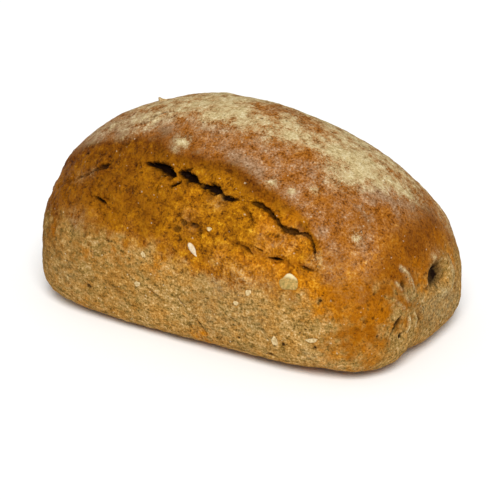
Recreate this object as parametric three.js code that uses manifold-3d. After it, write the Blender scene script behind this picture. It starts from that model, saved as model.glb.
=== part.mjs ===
// A tin loaf of seeded brown bread, baked as one piece.
//
// The dough filled a rectangular tin up to its rim and rose over it in a rounded crown.
// Along one long side the crust tore open in the oven, just under the floured top crust.
//
// Millimetres. +X runs along the loaf, -Y is the side that burst, +Z is up.
// The origin is under the middle of the loaf, on the surface that it stands on.

import * as THREE from 'three';
import { mergeVertices } from 'three/addons/utils/BufferGeometryUtils.js';
import Module from 'manifold-3d';

const wasm = await Module();
wasm.setup();

// ---------------------------------------------------------------- driving dimensions

const LENGTH = 230;
const WIDTH = 136;
const HEIGHT = 116;

const RIM = 32.5; // height of the widest level, from where the sides start to round in
const UNDERSIDE = 2.2; // depth of the rounded underside that baking pressed flat
const BASE_TUCK = 1.4; // how far each side draws in from the widest level to the underside

// Roundness of the outline: 2 is an ellipse, and more is squarer.
const PLAN_ALONG = { base: 5.86, crown: 2.24 };
const PLAN_ACROSS = { base: 3.35, crown: 2.09 };
const CROWN_ROUND = 1.64;
const FOOT_ROUND = 6.8;

const CROWN_LEAN = new THREE.Vector2(-6.7, 1.6); // the crown leans left and away from the burst

// The torn band on the -Y side: its ends, the height it starts at, and how deep it sits.
const BURST = { left: -104, right: 80, foot: 51, depth: 1.6, soft: 7 };
// The lip of the top crust over it: its heights, where it peaks, and how far it swells out.
const LIP = { left: 60, peak: 99, right: 58, peakAt: -28, swell: 1.5 };

// The open tear in the burst: stations along X with their heights.
const TEAR_STATIONS = [
  [-36, 90],
  [-20, 88.5],
  [8, 87],
  [32, 85],
  [46, 81],
  [58, 76],
  [69, 71],
  [74, 63],
];
const TEAR_RADIUS = 2.2;
const TEAR_SINK = 0.9; // how far under the crust the middle of the tear runs

// The hole that a gas bubble left in the end crust, and the fold under it.
const END_HOLE = { y: 2, z: 45, radii: [7, 4.6, 6.6], tilt: -0.5 };
const END_FOLD = { y: -33, z: 27, radii: [3.5, 3.4, 8], tilt: 0.4 };

const GRID = { along: 38, across: 20, up: 20 };

// ---------------------------------------------------------------- the form of the loaf

const CROWN_RISE = HEIGHT - RIM;
const FOOT_DROP = RIM + UNDERSIDE;
const HEART = new THREE.Vector3(0, 0, RIM);

// How far up the loaf a height is, eased from 0 at the underside to 1 at the crown.
function climb(z) {
  return THREE.MathUtils.smoothstep(z, -UNDERSIDE, HEIGHT);
}

// Below 1 inside the dough, 1 on its crust and above 1 outside.
function fullness(point) {
  const rise = climb(point.z);
  const lean = rise - climb(RIM);
  const tuck = BASE_TUCK * THREE.MathUtils.clamp((RIM - point.z) / FOOT_DROP, 0, 1);
  const along = Math.abs(point.x - CROWN_LEAN.x * lean) / (LENGTH / 2 - tuck);
  const across = Math.abs(point.y - CROWN_LEAN.y * lean) / (WIDTH / 2 - tuck);
  const above = Math.max(point.z - RIM, 0) / CROWN_RISE;
  const below = Math.max(RIM - point.z, 0) / FOOT_DROP;
  return (
    along ** THREE.MathUtils.lerp(PLAN_ALONG.base, PLAN_ALONG.crown, rise) +
    across ** THREE.MathUtils.lerp(PLAN_ACROSS.base, PLAN_ACROSS.crown, rise) +
    above ** CROWN_ROUND +
    below ** FOOT_ROUND
  );
}

// The point where a ray from `start` crosses the crust.
function crustPoint(start, direction) {
  const step = new THREE.Vector3();
  let inside = 0;
  let outside = LENGTH;
  for (let pass = 0; pass < 40; pass++) {
    const middle = (inside + outside) / 2;
    step.copy(start).addScaledVector(direction, middle);
    if (fullness(step) < 1) inside = middle;
    else outside = middle;
  }
  return step.copy(start).addScaledVector(direction, inside);
}

// Height of the lip of the top crust at a place along the loaf.
function lipHeight(x) {
  const end = x < LIP.peakAt ? BURST.left : BURST.right;
  const low = x < LIP.peakAt ? LIP.left : LIP.right;
  const run = Math.min((x - LIP.peakAt) / (end - LIP.peakAt), 1);
  return low + (LIP.peak - low) * Math.sqrt(1 - run * run);
}

// How far a point of the burst side stands out from the plain form.
function relief(point) {
  if (point.y > 0) return 0;
  const { smoothstep } = THREE.MathUtils;
  const lip = lipHeight(point.x);
  const within =
    smoothstep(point.x, BURST.left, BURST.left + BURST.soft) *
    (1 - smoothstep(point.x, BURST.right - BURST.soft, BURST.right));
  const band =
    smoothstep(point.z, BURST.foot, BURST.foot + BURST.soft) *
    (1 - smoothstep(point.z, lip - BURST.soft, lip));
  const shoulder = Math.exp(-(((point.z - lip - BURST.soft / 2) / BURST.soft) ** 2));
  return within * (LIP.swell * shoulder - BURST.depth * band);
}

// ---------------------------------------------------------------- solids

// A closed three.js geometry as a solid that can be cut.
function solidOf(geometry) {
  geometry.deleteAttribute('normal');
  geometry.deleteAttribute('uv');
  const merged = mergeVertices(geometry);
  return new wasm.Manifold(
    new wasm.Mesh({
      numProp: 3,
      vertProperties: new Float32Array(merged.attributes.position.array),
      triVerts: new Uint32Array(merged.index.array),
    }),
  );
}

// A solid back as a three.js geometry.
function geometryOf(solid) {
  const { vertProperties, triVerts } = solid.getMesh();
  const geometry = new THREE.BufferGeometry();
  geometry.setAttribute('position', new THREE.BufferAttribute(vertProperties, 3));
  geometry.setIndex(new THREE.BufferAttribute(triVerts, 1));
  geometry.computeVertexNormals();
  return geometry;
}

// The whole dough: a box grid pushed out from the loaf's heart to the crust.
function dough() {
  const geometry = new THREE.BoxGeometry(LENGTH, WIDTH, HEIGHT, GRID.along, GRID.across, GRID.up);
  const { position } = geometry.attributes;
  const corner = new THREE.Vector3();
  for (let i = 0; i < position.count; i++) {
    corner.fromBufferAttribute(position, i).normalize();
    const crust = crustPoint(HEART, corner);
    crust.addScaledVector(corner, relief(crust));
    position.setXYZ(i, crust.x, crust.y, crust.z);
  }
  return solidOf(geometry);
}

// What lies under the flat base that the loaf stands on.
function underBase() {
  const slab = new THREE.BoxGeometry(2 * LENGTH, 2 * WIDTH, 2 * UNDERSIDE);
  slab.translate(0, 0, -UNDERSIDE);
  return solidOf(slab);
}

// The open tear: a round groove that runs just under the crust.
function tear() {
  const side = new THREE.Vector3(0, -1, 0);
  const stations = TEAR_STATIONS.map(([x, z]) => {
    const crust = crustPoint(new THREE.Vector3(x, 0, z), side);
    const inward = HEART.clone().sub(crust).normalize();
    return crust.addScaledVector(inward, TEAR_SINK);
  });
  const section = new THREE.Shape();
  section.absarc(0, 0, TEAR_RADIUS, 0, 2 * Math.PI);
  const groove = new THREE.ExtrudeGeometry(section, {
    steps: 36,
    curveSegments: 5,
    extrudePath: new THREE.CatmullRomCurve3(stations),
  });
  return solidOf(groove);
}

// A hollow in the crust of the +X end.
function endHollow({ y, z, radii, tilt }) {
  const hollow = new THREE.SphereGeometry(1, 16, 12);
  hollow.scale(...radii);
  hollow.rotateX(tilt);
  const crust = crustPoint(new THREE.Vector3(0, y, z), new THREE.Vector3(1, 0, 0));
  hollow.translate(crust.x, crust.y, crust.z);
  return solidOf(hollow);
}

// The loaf, stood on its base and centred over the origin.
function loafGeometry() {
  const geometry = geometryOf(
    dough()
      .subtract(underBase())
      .subtract(tear())
      .subtract(endHollow(END_HOLE))
      .subtract(endHollow(END_FOLD)),
  );
  geometry.computeBoundingBox();
  const { min, max } = geometry.boundingBox;
  geometry.translate(-(min.x + max.x) / 2, -(min.y + max.y) / 2, 0);
  const span = new THREE.Vector3().subVectors(max, min);
  return geometry.scale(LENGTH / span.x, WIDTH / span.y, HEIGHT / span.z);
}

const crust = new THREE.MeshStandardMaterial({ color: '#ad7b3e', roughness: 0.82, metalness: 0 });

const loaf = new THREE.Mesh(loafGeometry(), crust);
loaf.name = 'loaf';

const model = new THREE.Group();
model.add(loaf);

export default model;
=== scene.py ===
"""Looks of a seeded brown tin loaf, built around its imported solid.

The loaf is one baked piece, so one crust mesh carries its whole form: the tin-baked sides, the floured
crown, the band that burst in the oven with its open tear, and the hole and folds in the end crust. Small
grains that are baked into the crust lie on it as pieces of their own.

Inside the classes lengths are millimetres, in the loaf's own frame: +X along the loaf, -Y the side that
burst, +Z up, and the origin under its middle. Blender gets them in metres.
"""

import logging
import math
from dataclasses import dataclass, field, replace
from enum import Enum

import bmesh
import bpy
import numpy as np
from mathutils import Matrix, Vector


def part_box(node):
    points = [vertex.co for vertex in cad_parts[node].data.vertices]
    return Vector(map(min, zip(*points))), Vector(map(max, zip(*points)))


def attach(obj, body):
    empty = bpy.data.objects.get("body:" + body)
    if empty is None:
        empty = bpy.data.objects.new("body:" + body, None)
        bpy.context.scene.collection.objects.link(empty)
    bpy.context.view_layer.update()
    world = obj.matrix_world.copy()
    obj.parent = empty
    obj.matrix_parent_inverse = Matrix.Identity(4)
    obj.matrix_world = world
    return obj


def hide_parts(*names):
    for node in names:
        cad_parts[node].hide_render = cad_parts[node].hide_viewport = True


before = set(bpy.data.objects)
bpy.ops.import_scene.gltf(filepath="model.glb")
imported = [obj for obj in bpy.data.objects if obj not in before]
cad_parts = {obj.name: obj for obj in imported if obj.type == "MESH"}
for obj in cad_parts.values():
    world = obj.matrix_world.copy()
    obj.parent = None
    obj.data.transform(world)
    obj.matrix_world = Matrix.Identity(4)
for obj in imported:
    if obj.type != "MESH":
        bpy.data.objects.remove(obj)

LOG = logging.getLogger("tin_loaf")
MM = 0.001
BODY = "root"
CAD_NODE = "loaf"
RAISED_RIM = "raised_rim"
FAR = 1e9  # farther off than anything on the loaf, in millimetres
MERGE = 1e-6  # points of a grain nearer than this are one, in metres

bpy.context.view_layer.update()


# ------------------------------------------------------------------ small helpers


def linear(hex_colour: str) -> tuple[float, float, float, float]:
    """Turns an sRGB hex colour into Blender's linear colour.

    Args:
        hex_colour: six hex digits after a hash sign.

    Returns:
        Linear red, green and blue, and an alpha of 1.
    """
    parts = [int(hex_colour[i:i + 2], 16) / 255 for i in (1, 3, 5)]
    return tuple(p / 12.92 if p <= 0.04045 else ((p + 0.055) / 1.055) ** 2.4 for p in parts) + (1.0,)


def eased(low: float | np.ndarray, high: float | np.ndarray, value: np.ndarray) -> np.ndarray:
    """A smooth step from 0 at `low` to 1 at `high`.

    Args:
        low: where the step starts.
        high: where it ends. It may be below `low`, and the step then falls.
        value: where to read it.

    Returns:
        The step's height for each value.
    """
    t = np.clip((value - low) / (high - low), 0, 1)
    return t * t * (3 - 2 * t)


def turned(count: int) -> np.ndarray:
    """Angles once round, in radians."""
    return np.arange(count) / count * 2 * math.pi


def hump(distance: np.ndarray, reach: float) -> np.ndarray:
    """A rounded hump, 1 at distance 0 and nearly gone at twice its reach."""
    return np.exp(-((distance / reach) ** 2))


def per_mm(size: float) -> float:
    """The texture scale that gives a pattern of this size in millimetres."""
    return 1 / (size * MM)


@dataclass(frozen=True)
class Pattern:
    """One pattern of waves over the crust.

    Its coarsest waves are `size` across, and each of its layers is half the size of the last and `keep`
    times as high. It is read `shift` away, so that patterns don't line up, and made `height` high.
    """

    size: float
    layers: int = 1
    keep: float = 0.5
    shift: float = 0.0
    height: float = 1.0


class Waves:
    """Smooth random waves and cells through space, the same on every run."""

    TABLE = 4096
    # Large odd numbers that scatter neighbouring cells over the table.
    SCATTER = np.array([73856093, 19349663, 83492791])
    # Brings one layer to heights from about -1 to 1.
    GAIN = 1.7
    # Keeps the layers' cells apart.
    LAYER_SHIFT = 17.3

    def __init__(self, seed: int) -> None:
        """Draws the tables that the waves are made from.

        Args:
            seed: the number that fixes the draw.
        """
        rng = np.random.default_rng(seed)
        slopes = rng.normal(size=(self.TABLE, 3))
        self.slopes = slopes / np.linalg.norm(slopes, axis=1, keepdims=True)
        self.spots = rng.random((self.TABLE, 4))

    def _row(self, cell: np.ndarray) -> np.ndarray:
        """The table row that belongs to each whole-number cell."""
        mixed = np.bitwise_xor.reduce(cell * self.SCATTER, axis=1)
        return (mixed ^ mixed >> 7 ^ mixed >> 15) & (self.TABLE - 1)

    def _octave(self, points: np.ndarray) -> np.ndarray:
        """One layer of waves about one unit across, from about -1 to 1.

        Args:
            points: where to read it, in units.

        Returns:
            The height at each point.
        """
        cell = np.floor(points).astype(np.int64)
        inside = points - cell
        fade = inside ** 3 * (inside * (inside * 6 - 15) + 10)
        total = np.zeros(len(points))
        for corner in np.ndindex(2, 2, 2):
            share = np.prod(np.where(corner, fade, 1 - fade), axis=1)
            slope = self.slopes[self._row(cell + corner)]
            total += share * np.einsum("ij,ij->i", slope, inside - corner)
        return total * self.GAIN

    def at(self, points: np.ndarray, pattern: Pattern) -> np.ndarray:
        """Waves with finer and finer layers on top.

        Args:
            points: where to read them.
            pattern: their size, layers and height.

        Returns:
            The height at each point, from about minus to plus the pattern's height.
        """
        points = points + pattern.shift
        total, size, height = np.zeros(len(points)), pattern.size, 1.0
        for layer in range(pattern.layers):
            total += height * self._octave(points / size + self.LAYER_SHIFT * layer)
            size, height = size / 2, height * pattern.keep
        return pattern.height * total

    def cells(self, points: np.ndarray, size: float) -> tuple[np.ndarray, np.ndarray]:
        """Scattered spots, one to a cell.

        Args:
            points: where to read them.
            size: the cell's side.

        Returns:
            The distance to the nearest spot, and that spot's own random number from 0 to 1.
        """
        scaled = points / size
        home = np.floor(scaled).astype(np.int64)
        nearest, number = np.full(len(points), FAR), np.zeros(len(points))
        for step in np.ndindex(3, 3, 3):
            cell = home + step - 1
            drawn = self.spots[self._row(cell)]
            gap = np.linalg.norm(cell + drawn[:, :3] - scaled, axis=1)
            closer = gap < nearest
            nearest, number = np.where(closer, gap, nearest), np.where(closer, drawn[:, 3], number)
        return nearest * size, number


# ------------------------------------------------------------------ the plain form


@dataclass(frozen=True)
class DoughForm:
    """The plain form that the dough took: square in the tin, round over it.

    Its roundness is the power of its outline: 2 is an ellipse, and more is squarer.
    """

    length: float
    width: float
    height: float
    # The height of the widest level, from where the sides start to round in.
    rim: float = 32.5
    # How much of the rounded underside was pressed flat, and how far each side draws in down to it.
    underside: float = 2.2
    tuck: float = 1.4
    # Roundness along and across the loaf, at the base and at the crown, and up over the rim and under it.
    base_round: tuple[float, float] = (5.86, 3.35)
    crown_round: tuple[float, float] = (2.24, 2.09)
    rise_round: float = 1.64
    foot_round: float = 6.8
    # How far the crown leans left, and away from the burst.
    lean: tuple[float, float] = (-6.7, 1.6)
    # How often the search for the crust halves its span, the step that its slope is read over, and the
    # height under which a point lies on the flat base.
    halvings: int = 26
    slope_step: float = 0.05
    base_height: float = 1e-6

    @classmethod
    def from_frame(cls) -> "DoughForm":
        """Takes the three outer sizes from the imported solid."""
        low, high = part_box(CAD_NODE)
        return cls(*((high - low) / MM))

    @property
    def heart(self) -> np.ndarray:
        """The point inside the loaf that its crust is pushed out from."""
        return np.array([0, 0, self.rim])

    @property
    def size(self) -> np.ndarray:
        """The loaf's length, width and height."""
        return np.array([self.length, self.width, self.height])

    def _climb(self, z: np.ndarray | float) -> np.ndarray:
        """How far up the loaf a height is, eased from 0 to 1."""
        return eased(-self.underside, self.height, np.asarray(z, float))

    def fullness(self, points: np.ndarray) -> np.ndarray:
        """Below 1 inside the dough, 1 on its crust and above 1 outside.

        Args:
            points: where to read it.

        Returns:
            The fullness at each point.
        """
        x, y, z = points.T
        climb = self._climb(z)
        lean = climb - self._climb(self.rim)
        drop = self.rim + self.underside
        tuck = self.tuck * np.clip((self.rim - z) / drop, 0, 1)
        powers = [low + (high - low) * climb for low, high in zip(self.base_round, self.crown_round)]
        along = np.abs(x - self.lean[0] * lean) / (self.length / 2 - tuck)
        across = np.abs(y - self.lean[1] * lean) / (self.width / 2 - tuck)
        above = np.maximum(z - self.rim, 0) / (self.height - self.rim)
        below = np.maximum(self.rim - z, 0) / drop
        return along ** powers[0] + across ** powers[1] + above ** self.rise_round + below ** self.foot_round

    def crust(self, rays: np.ndarray) -> np.ndarray:
        """Where rays from the loaf's heart cross its crust, or the flat base.

        Args:
            rays: directions, of any length.

        Returns:
            One point on the crust for each ray.
        """
        rays = rays / np.linalg.norm(rays, axis=1, keepdims=True)
        inside, outside = np.zeros(len(rays)), np.full(len(rays), self.length)
        for _ in range(self.halvings):
            middle = (inside + outside) / 2
            within = self.fullness(self.heart + rays * middle[:, None]) < 1
            inside, outside = np.where(within, middle, inside), np.where(within, outside, middle)
        # A ray that falls stops at the flat base.
        falling = np.maximum(-rays[:, 2], 1 / FAR)
        reach = np.minimum(inside, self.rim / falling)
        return self.heart + rays * reach[:, None]

    def onto(self, points: np.ndarray) -> np.ndarray:
        """Moves points straight out from, or in to, the loaf's heart until they lie on the crust."""
        return self.crust(points - self.heart)

    def outward(self, points: np.ndarray) -> np.ndarray:
        """The crust's outward direction at each point.

        Args:
            points: points on the crust.

        Returns:
            A unit direction for each point.
        """
        steps = self.slope_step * np.eye(3)
        slope = [self.fullness(points + step) - self.fullness(points - step) for step in steps]
        out = np.stack(slope, axis=1)
        on_base = points[:, 2] < self.base_height
        out[on_base] = (0, 0, -1)
        return out / np.linalg.norm(out, axis=1, keepdims=True)


# ------------------------------------------------------------------ marks on the crust


class Mark(Enum):
    """What the oven, the tin and the flour left on the crust, and painted shade, kept per point for the
    material.
    """

    BURST = "burst"
    TIN = "tin_side"
    WARM = "caramel"
    # Seared crust, and also painted shade in deep crumbs, along grooves and over the left of the loaf.
    SEARED_AND_SHADE = "seared"
    FILM = "flour_film"
    FLOUR = "flour"
    MEAL = "meal"
    # Painted shade in tears, slits, creases, pits, pores and the bubble hole.
    PAINTED_SHADE = "deep"


@dataclass
class Crust:
    """The crust's points while its relief and marks are worked out.

    Besides each point's rest place, outward direction, move and marks, it holds how far the ragged edges of
    marks and lines stray there, and how the crust is mottled.
    """

    STRAY = Pattern(11, 3, 0.6, shift=40)
    MOTTLE = Pattern(7, 3, 0.65, shift=23)

    form: DoughForm
    rest: np.ndarray
    out: np.ndarray
    move: np.ndarray
    marks: dict[Mark, np.ndarray]
    stray: np.ndarray
    mottle: np.ndarray

    @classmethod
    def on(cls, form: DoughForm, rest: np.ndarray, waves: Waves) -> "Crust":
        """Starts from points on the plain form, with no marks.

        Args:
            form: the plain form.
            rest: the points.
            waves: the waves that mottle the crust.

        Returns:
            The crust, not yet moved.
        """
        blank = {mark: np.zeros(len(rest)) for mark in Mark}
        stray = [waves.at(rest, replace(cls.STRAY, shift=cls.STRAY.shift * i)) for i in (1, 2, 3)]
        return cls(form, rest, form.outward(rest), np.zeros_like(rest), blank, np.stack(stray, axis=1),
                   waves.at(rest, cls.MOTTLE))

    def lift(self, height: np.ndarray) -> None:
        """Raises the crust outwards by this many millimetres."""
        self.move += self.out * height[:, None]

    def mark(self, kind: Mark, amount: np.ndarray) -> None:
        """Adds to a mark, up to a full one."""
        self.marks[kind] = np.clip(self.marks[kind] + amount, 0, 1)

    def mottled(self, strength: float = 0.5) -> np.ndarray:
        """A share around 1 that rises and falls with the crust's mottling."""
        return 1 + strength * self.mottle


def curve_through(stations: np.ndarray, steps: int) -> np.ndarray:
    """A smooth line through stations.

    Args:
        stations: one row each, with any number of columns.
        steps: how many points between two stations.

    Returns:
        The rows along the line.
    """
    ends = np.vstack([2 * stations[0] - stations[1], stations, 2 * stations[-1] - stations[-2]])
    before, start, stop, after = ends[:-3, None], ends[1:-2, None], ends[2:-1, None], ends[3:, None]
    t = (np.arange(steps) / steps)[None, :, None]
    line = 0.5 * (2 * start + (stop - before) * t
                  + (2 * before - 5 * start + 4 * stop - after) * t ** 2
                  + (3 * start - before - 3 * stop + after) * t ** 3)
    return np.vstack([line.reshape(-1, stations.shape[1]), stations[-1:]])


@dataclass(frozen=True)
class CrustLine:
    """A line over the crust through given stations: x, y and z, then what the line carries there."""

    stations: tuple[tuple[float, ...], ...]
    steps: int = 5

    def measure(self, crust: Crust, reach: float = FAR, stray: float = 0.0,
                sided: bool = False) -> tuple[np.ndarray, np.ndarray]:
        """Measures the crust's points from this line.

        Args:
            crust: the crust.
            reach: how far from the line points still matter.
            stray: how far points are taken to have strayed, which makes the line's edges ragged.
            sided: whether distances get a minus sign on the line's right, as seen from outside.

        Returns:
            Each point's distance from the line, and what the line carries there.
        """
        rows = curve_through(np.array(self.stations, float), self.steps)
        line, carried = crust.form.onto(rows[:, :3]), rows[:, 3:]
        count = len(crust.rest)
        best, held = np.full(count, FAR), np.zeros((count, carried.shape[1]))
        low, high = line.min(0) - reach, line.max(0) + reach
        near = np.flatnonzero(np.all((crust.rest > low) & (crust.rest < high), axis=1))
        points, out = crust.rest[near] + stray * crust.stray[near], crust.out[near]
        gap, side = np.full(len(near), FAR), np.ones(len(near))
        for i, (start, stop) in enumerate(zip(line[:-1], line[1:])):
            run = stop - start
            t = np.clip((points - start) @ run / (run @ run), 0, 1)
            away = points - start - t[:, None] * run
            distance = np.linalg.norm(away, axis=1)
            closer = distance < gap
            gap = np.where(closer, distance, gap)
            if sided:
                turn = np.einsum("ij,ij->i", np.cross(run, away), out)
                side = np.where(closer, np.where(turn < 0, -1, 1), side)
            value = carried[i] + t[:, None] * (carried[i + 1] - carried[i])
            held[near] = np.where(closer[:, None], value, held[near])
        best[near] = gap * side
        return best, held


@dataclass(frozen=True)
class Groove:
    """A tear, slit or crease. Its stations carry its half width and its depth.

    Its wall, brim, painted shade and brown edge are set by how many half widths a point lies from its middle.
    """

    # What roughens its edge, and how much it may. Then how far it matters, and its least half width.
    EDGE = Pattern(2.2, 3, 0.7)
    EDGE_RANGE = (0.3, 2)
    REACH = 9
    LEAST_HALF = 0.15
    # Where the wall starts and ends.
    WALL = (1.25, 0.35)
    # Where the raised brim lies, how broad it is, and the depth from which it is full.
    BRIM_AT, BRIM_WIDTH, BRIM_DEPTH = 1.7, 0.5, 2
    # Where the painted shade of its core starts and is full, and the depth from which it is black.
    CORE, CORE_DEPTH = (1.1, 0.7), 2.5
    # Where the edge is darkened brown, partly as browned dough and partly as painted shade, how broadly and
    # how much, and the depth from which it is.
    BROWN_AT, BROWN_WIDTH, BROWN, BROWN_DEPTH = 1.2, 0.7, 0.4, 3

    line: CrustLine
    ragged: float = 0.35
    shade: float = 1.0
    brim: float = 0.25
    undercut: float = 0.0

    def press(self, crust: Crust, waves: Waves) -> None:
        """Sinks the groove into the crust, paints shade into it and darkens its edge brown.

        Args:
            crust: the crust.
            waves: the waves that roughen it.
        """
        distance, held = self.line.measure(crust, reach=self.REACH)
        half, depth = np.maximum(held[:, 0], self.LEAST_HALF), held[:, 1]
        rough = 1 + self.ragged * waves.at(crust.rest, self.EDGE)
        gap = distance / (half * np.clip(rough, *self.EDGE_RANGE))
        sunk = eased(*self.WALL, gap) * (distance < self.REACH)
        crust.lift(-depth * sunk)
        crust.move[:, 2] += self.undercut * depth * sunk
        crust.lift(self.brim * np.minimum(depth, self.BRIM_DEPTH) * hump(gap - self.BRIM_AT, self.BRIM_WIDTH))
        core = eased(*self.CORE, gap) * np.clip(depth / self.CORE_DEPTH, 0, 1)
        edge_browned_and_shaded = hump(gap - self.BROWN_AT, self.BROWN_WIDTH) * np.clip(depth / self.BROWN_DEPTH, 0, 1)
        # Painted shade in the groove, and a brown edge that is partly painted shade too.
        crust.mark(Mark.PAINTED_SHADE, self.shade * core)
        crust.mark(Mark.SEARED_AND_SHADE, self.BROWN * self.shade * edge_browned_and_shaded)


@dataclass(frozen=True)
class Ridge:
    """A fold's raised edge. Its stations carry its half width and its height."""

    EDGE = Pattern(5, height=0.2)
    REACH = 14
    LEAST_HALF = 0.3

    line: CrustLine
    # How pale its crest is painted with flour, which also stands for a painted highlight.
    pale: float = 0.5

    def press(self, crust: Crust, waves: Waves) -> None:
        """Raises the ridge, and leaves flour along its crest that also paints a highlight there.

        Args:
            crust: the crust.
            waves: the waves that roughen it.
        """
        distance, held = self.line.measure(crust, reach=self.REACH)
        half = np.maximum(held[:, 0], self.LEAST_HALF) * (1 + waves.at(crust.rest, self.EDGE))
        shape = hump(distance, half)
        crust.lift(held[:, 1] * shape)
        crust.mark(Mark.FLOUR, self.pale * shape)


@dataclass(frozen=True)
class Hollow:
    """A pit, dent or bubble hole, or a swelling where its depth is below zero.

    It is rounder or squarer in section as `sharp` is low or high, and the rim around it stands `rim` high.
    Its painted shade and its rim are set by how many radii a point lies from its centre.
    """

    EDGE = Pattern(3.5, height=0.08)
    # Where the painted shade inside it starts and where it is full, in radii.
    CORE = (1.1, 0.65)
    RIM_AT, RIM_WIDTH = 1.45, 0.35

    centre: tuple[float, float, float]
    radii: tuple[float, float, float]
    depth: float
    sharp: float = 2.0
    shade: float = 0.0
    rim: float = 0.0

    def press(self, crust: Crust, waves: Waves) -> None:
        """Sinks the hollow into the crust, and paints shade into it if it has a shade.

        Args:
            crust: the crust.
            waves: the waves that roughen it.
        """
        centre = crust.form.onto(np.array([self.centre]))[0]
        ratio = np.linalg.norm((crust.rest - centre) / np.array(self.radii), axis=1)
        if self.shade:
            ratio = ratio * (1 + waves.at(crust.rest, self.EDGE))
            crust.mark(Mark.PAINTED_SHADE, self.shade * eased(*self.CORE, ratio))
        bowl = np.exp(-(ratio ** self.sharp))
        crust.lift(-self.depth * bowl + self.rim * hump(ratio - self.RIM_AT, self.RIM_WIDTH))


@dataclass(frozen=True)
class Patch:
    """A soft, ragged patch of one mark."""

    kind: Mark
    centre: tuple[float, float, float]
    reach: float
    amount: float
    stray: float = 2.0

    def paint(self, crust: Crust) -> None:
        """Adds the patch to the crust.

        Args:
            crust: the crust.
        """
        points = crust.rest + self.stray * crust.stray
        ratio = np.linalg.norm(points - np.array(self.centre), axis=1) / self.reach
        crust.mark(self.kind, self.amount * hump(ratio, 1.0) * crust.mottled())


@dataclass(frozen=True)
class Stroke:
    """A soft, ragged band of one mark. Its stations carry its half width and its strength."""

    REACH = 30
    LEAST_HALF = 0.5

    kind: Mark
    line: CrustLine
    stray: float = 2.5

    def paint(self, crust: Crust) -> None:
        """Adds the band to the crust.

        Args:
            crust: the crust.
        """
        distance, held = self.line.measure(crust, reach=self.REACH, stray=self.stray)
        half = np.maximum(held[:, 0], self.LEAST_HALF)
        crust.mark(self.kind, held[:, 1] * hump(distance, half) * crust.mottled())


# ------------------------------------------------------------------ materials


def add_node(tree: bpy.types.NodeTree, kind: str, settings: dict | None = None,
             **links: object) -> bpy.types.Node:
    """Adds a node with its settings and links.

    Args:
        tree: the node tree.
        kind: the node's type name, without the ShaderNode in front.
        settings: the node's own settings by name.
        **links: for each input, by name or as i0, i1 and so on, a socket to link or a value to set.

    Returns:
        The new node.
    """
    made = tree.nodes.new("ShaderNode" + kind)
    for name, value in (settings or {}).items():
        setattr(made, name, value)
    for name, value in links.items():
        number = name[0] == "i" and name[1:].isdigit()
        socket = made.inputs[int(name[1:]) if number else name.replace("_", " ")]
        if isinstance(value, bpy.types.NodeSocket):
            tree.links.new(value, socket)
        else:
            socket.default_value = value
    return made


@dataclass(frozen=True)
class Palette:
    """Colours of one kind of crust, evenly spaced from its darkest grains to its palest."""

    colours: tuple[str, ...]

    def ramp(self, tree: bpy.types.NodeTree, grain: bpy.types.NodeSocket) -> bpy.types.NodeSocket:
        """Adds a colour ramp of this palette, read by a grain from 0 to 1.

        Args:
            tree: the node tree.
            grain: the pattern that picks the colour.

        Returns:
            The ramp's colour.
        """
        made = add_node(tree, "ValToRGB", Fac=grain)
        elements = made.color_ramp.elements
        while len(elements) < len(self.colours):
            elements.new(1.0)
        for i, colour in enumerate(self.colours):
            elements[i].position = i / (len(self.colours) - 1)
            elements[i].color = linear(colour)
        return made.outputs["Color"]

    def over(self, tree: bpy.types.NodeTree, colour: bpy.types.NodeSocket, share: bpy.types.NodeSocket,
             grain: bpy.types.NodeSocket) -> bpy.types.NodeSocket:
        """Lays a coat of this palette over a colour.

        Args:
            tree: the node tree.
            colour: the colour under it.
            share: how much of it shows the coat, from 0 to 1.
            grain: the pattern that picks the coat's colours.

        Returns:
            The coated colour.
        """
        coat = self.ramp(tree, grain)
        return add_node(tree, "Mix", {"data_type": "RGBA"}, i0=share, i6=colour, i7=coat).outputs[2]


@dataclass(frozen=True)
class Fleck:
    """Small flecks ground into the dough: their colour, how strongly they show, and where they are read."""

    colour: str
    strength: float
    shift: float


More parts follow.
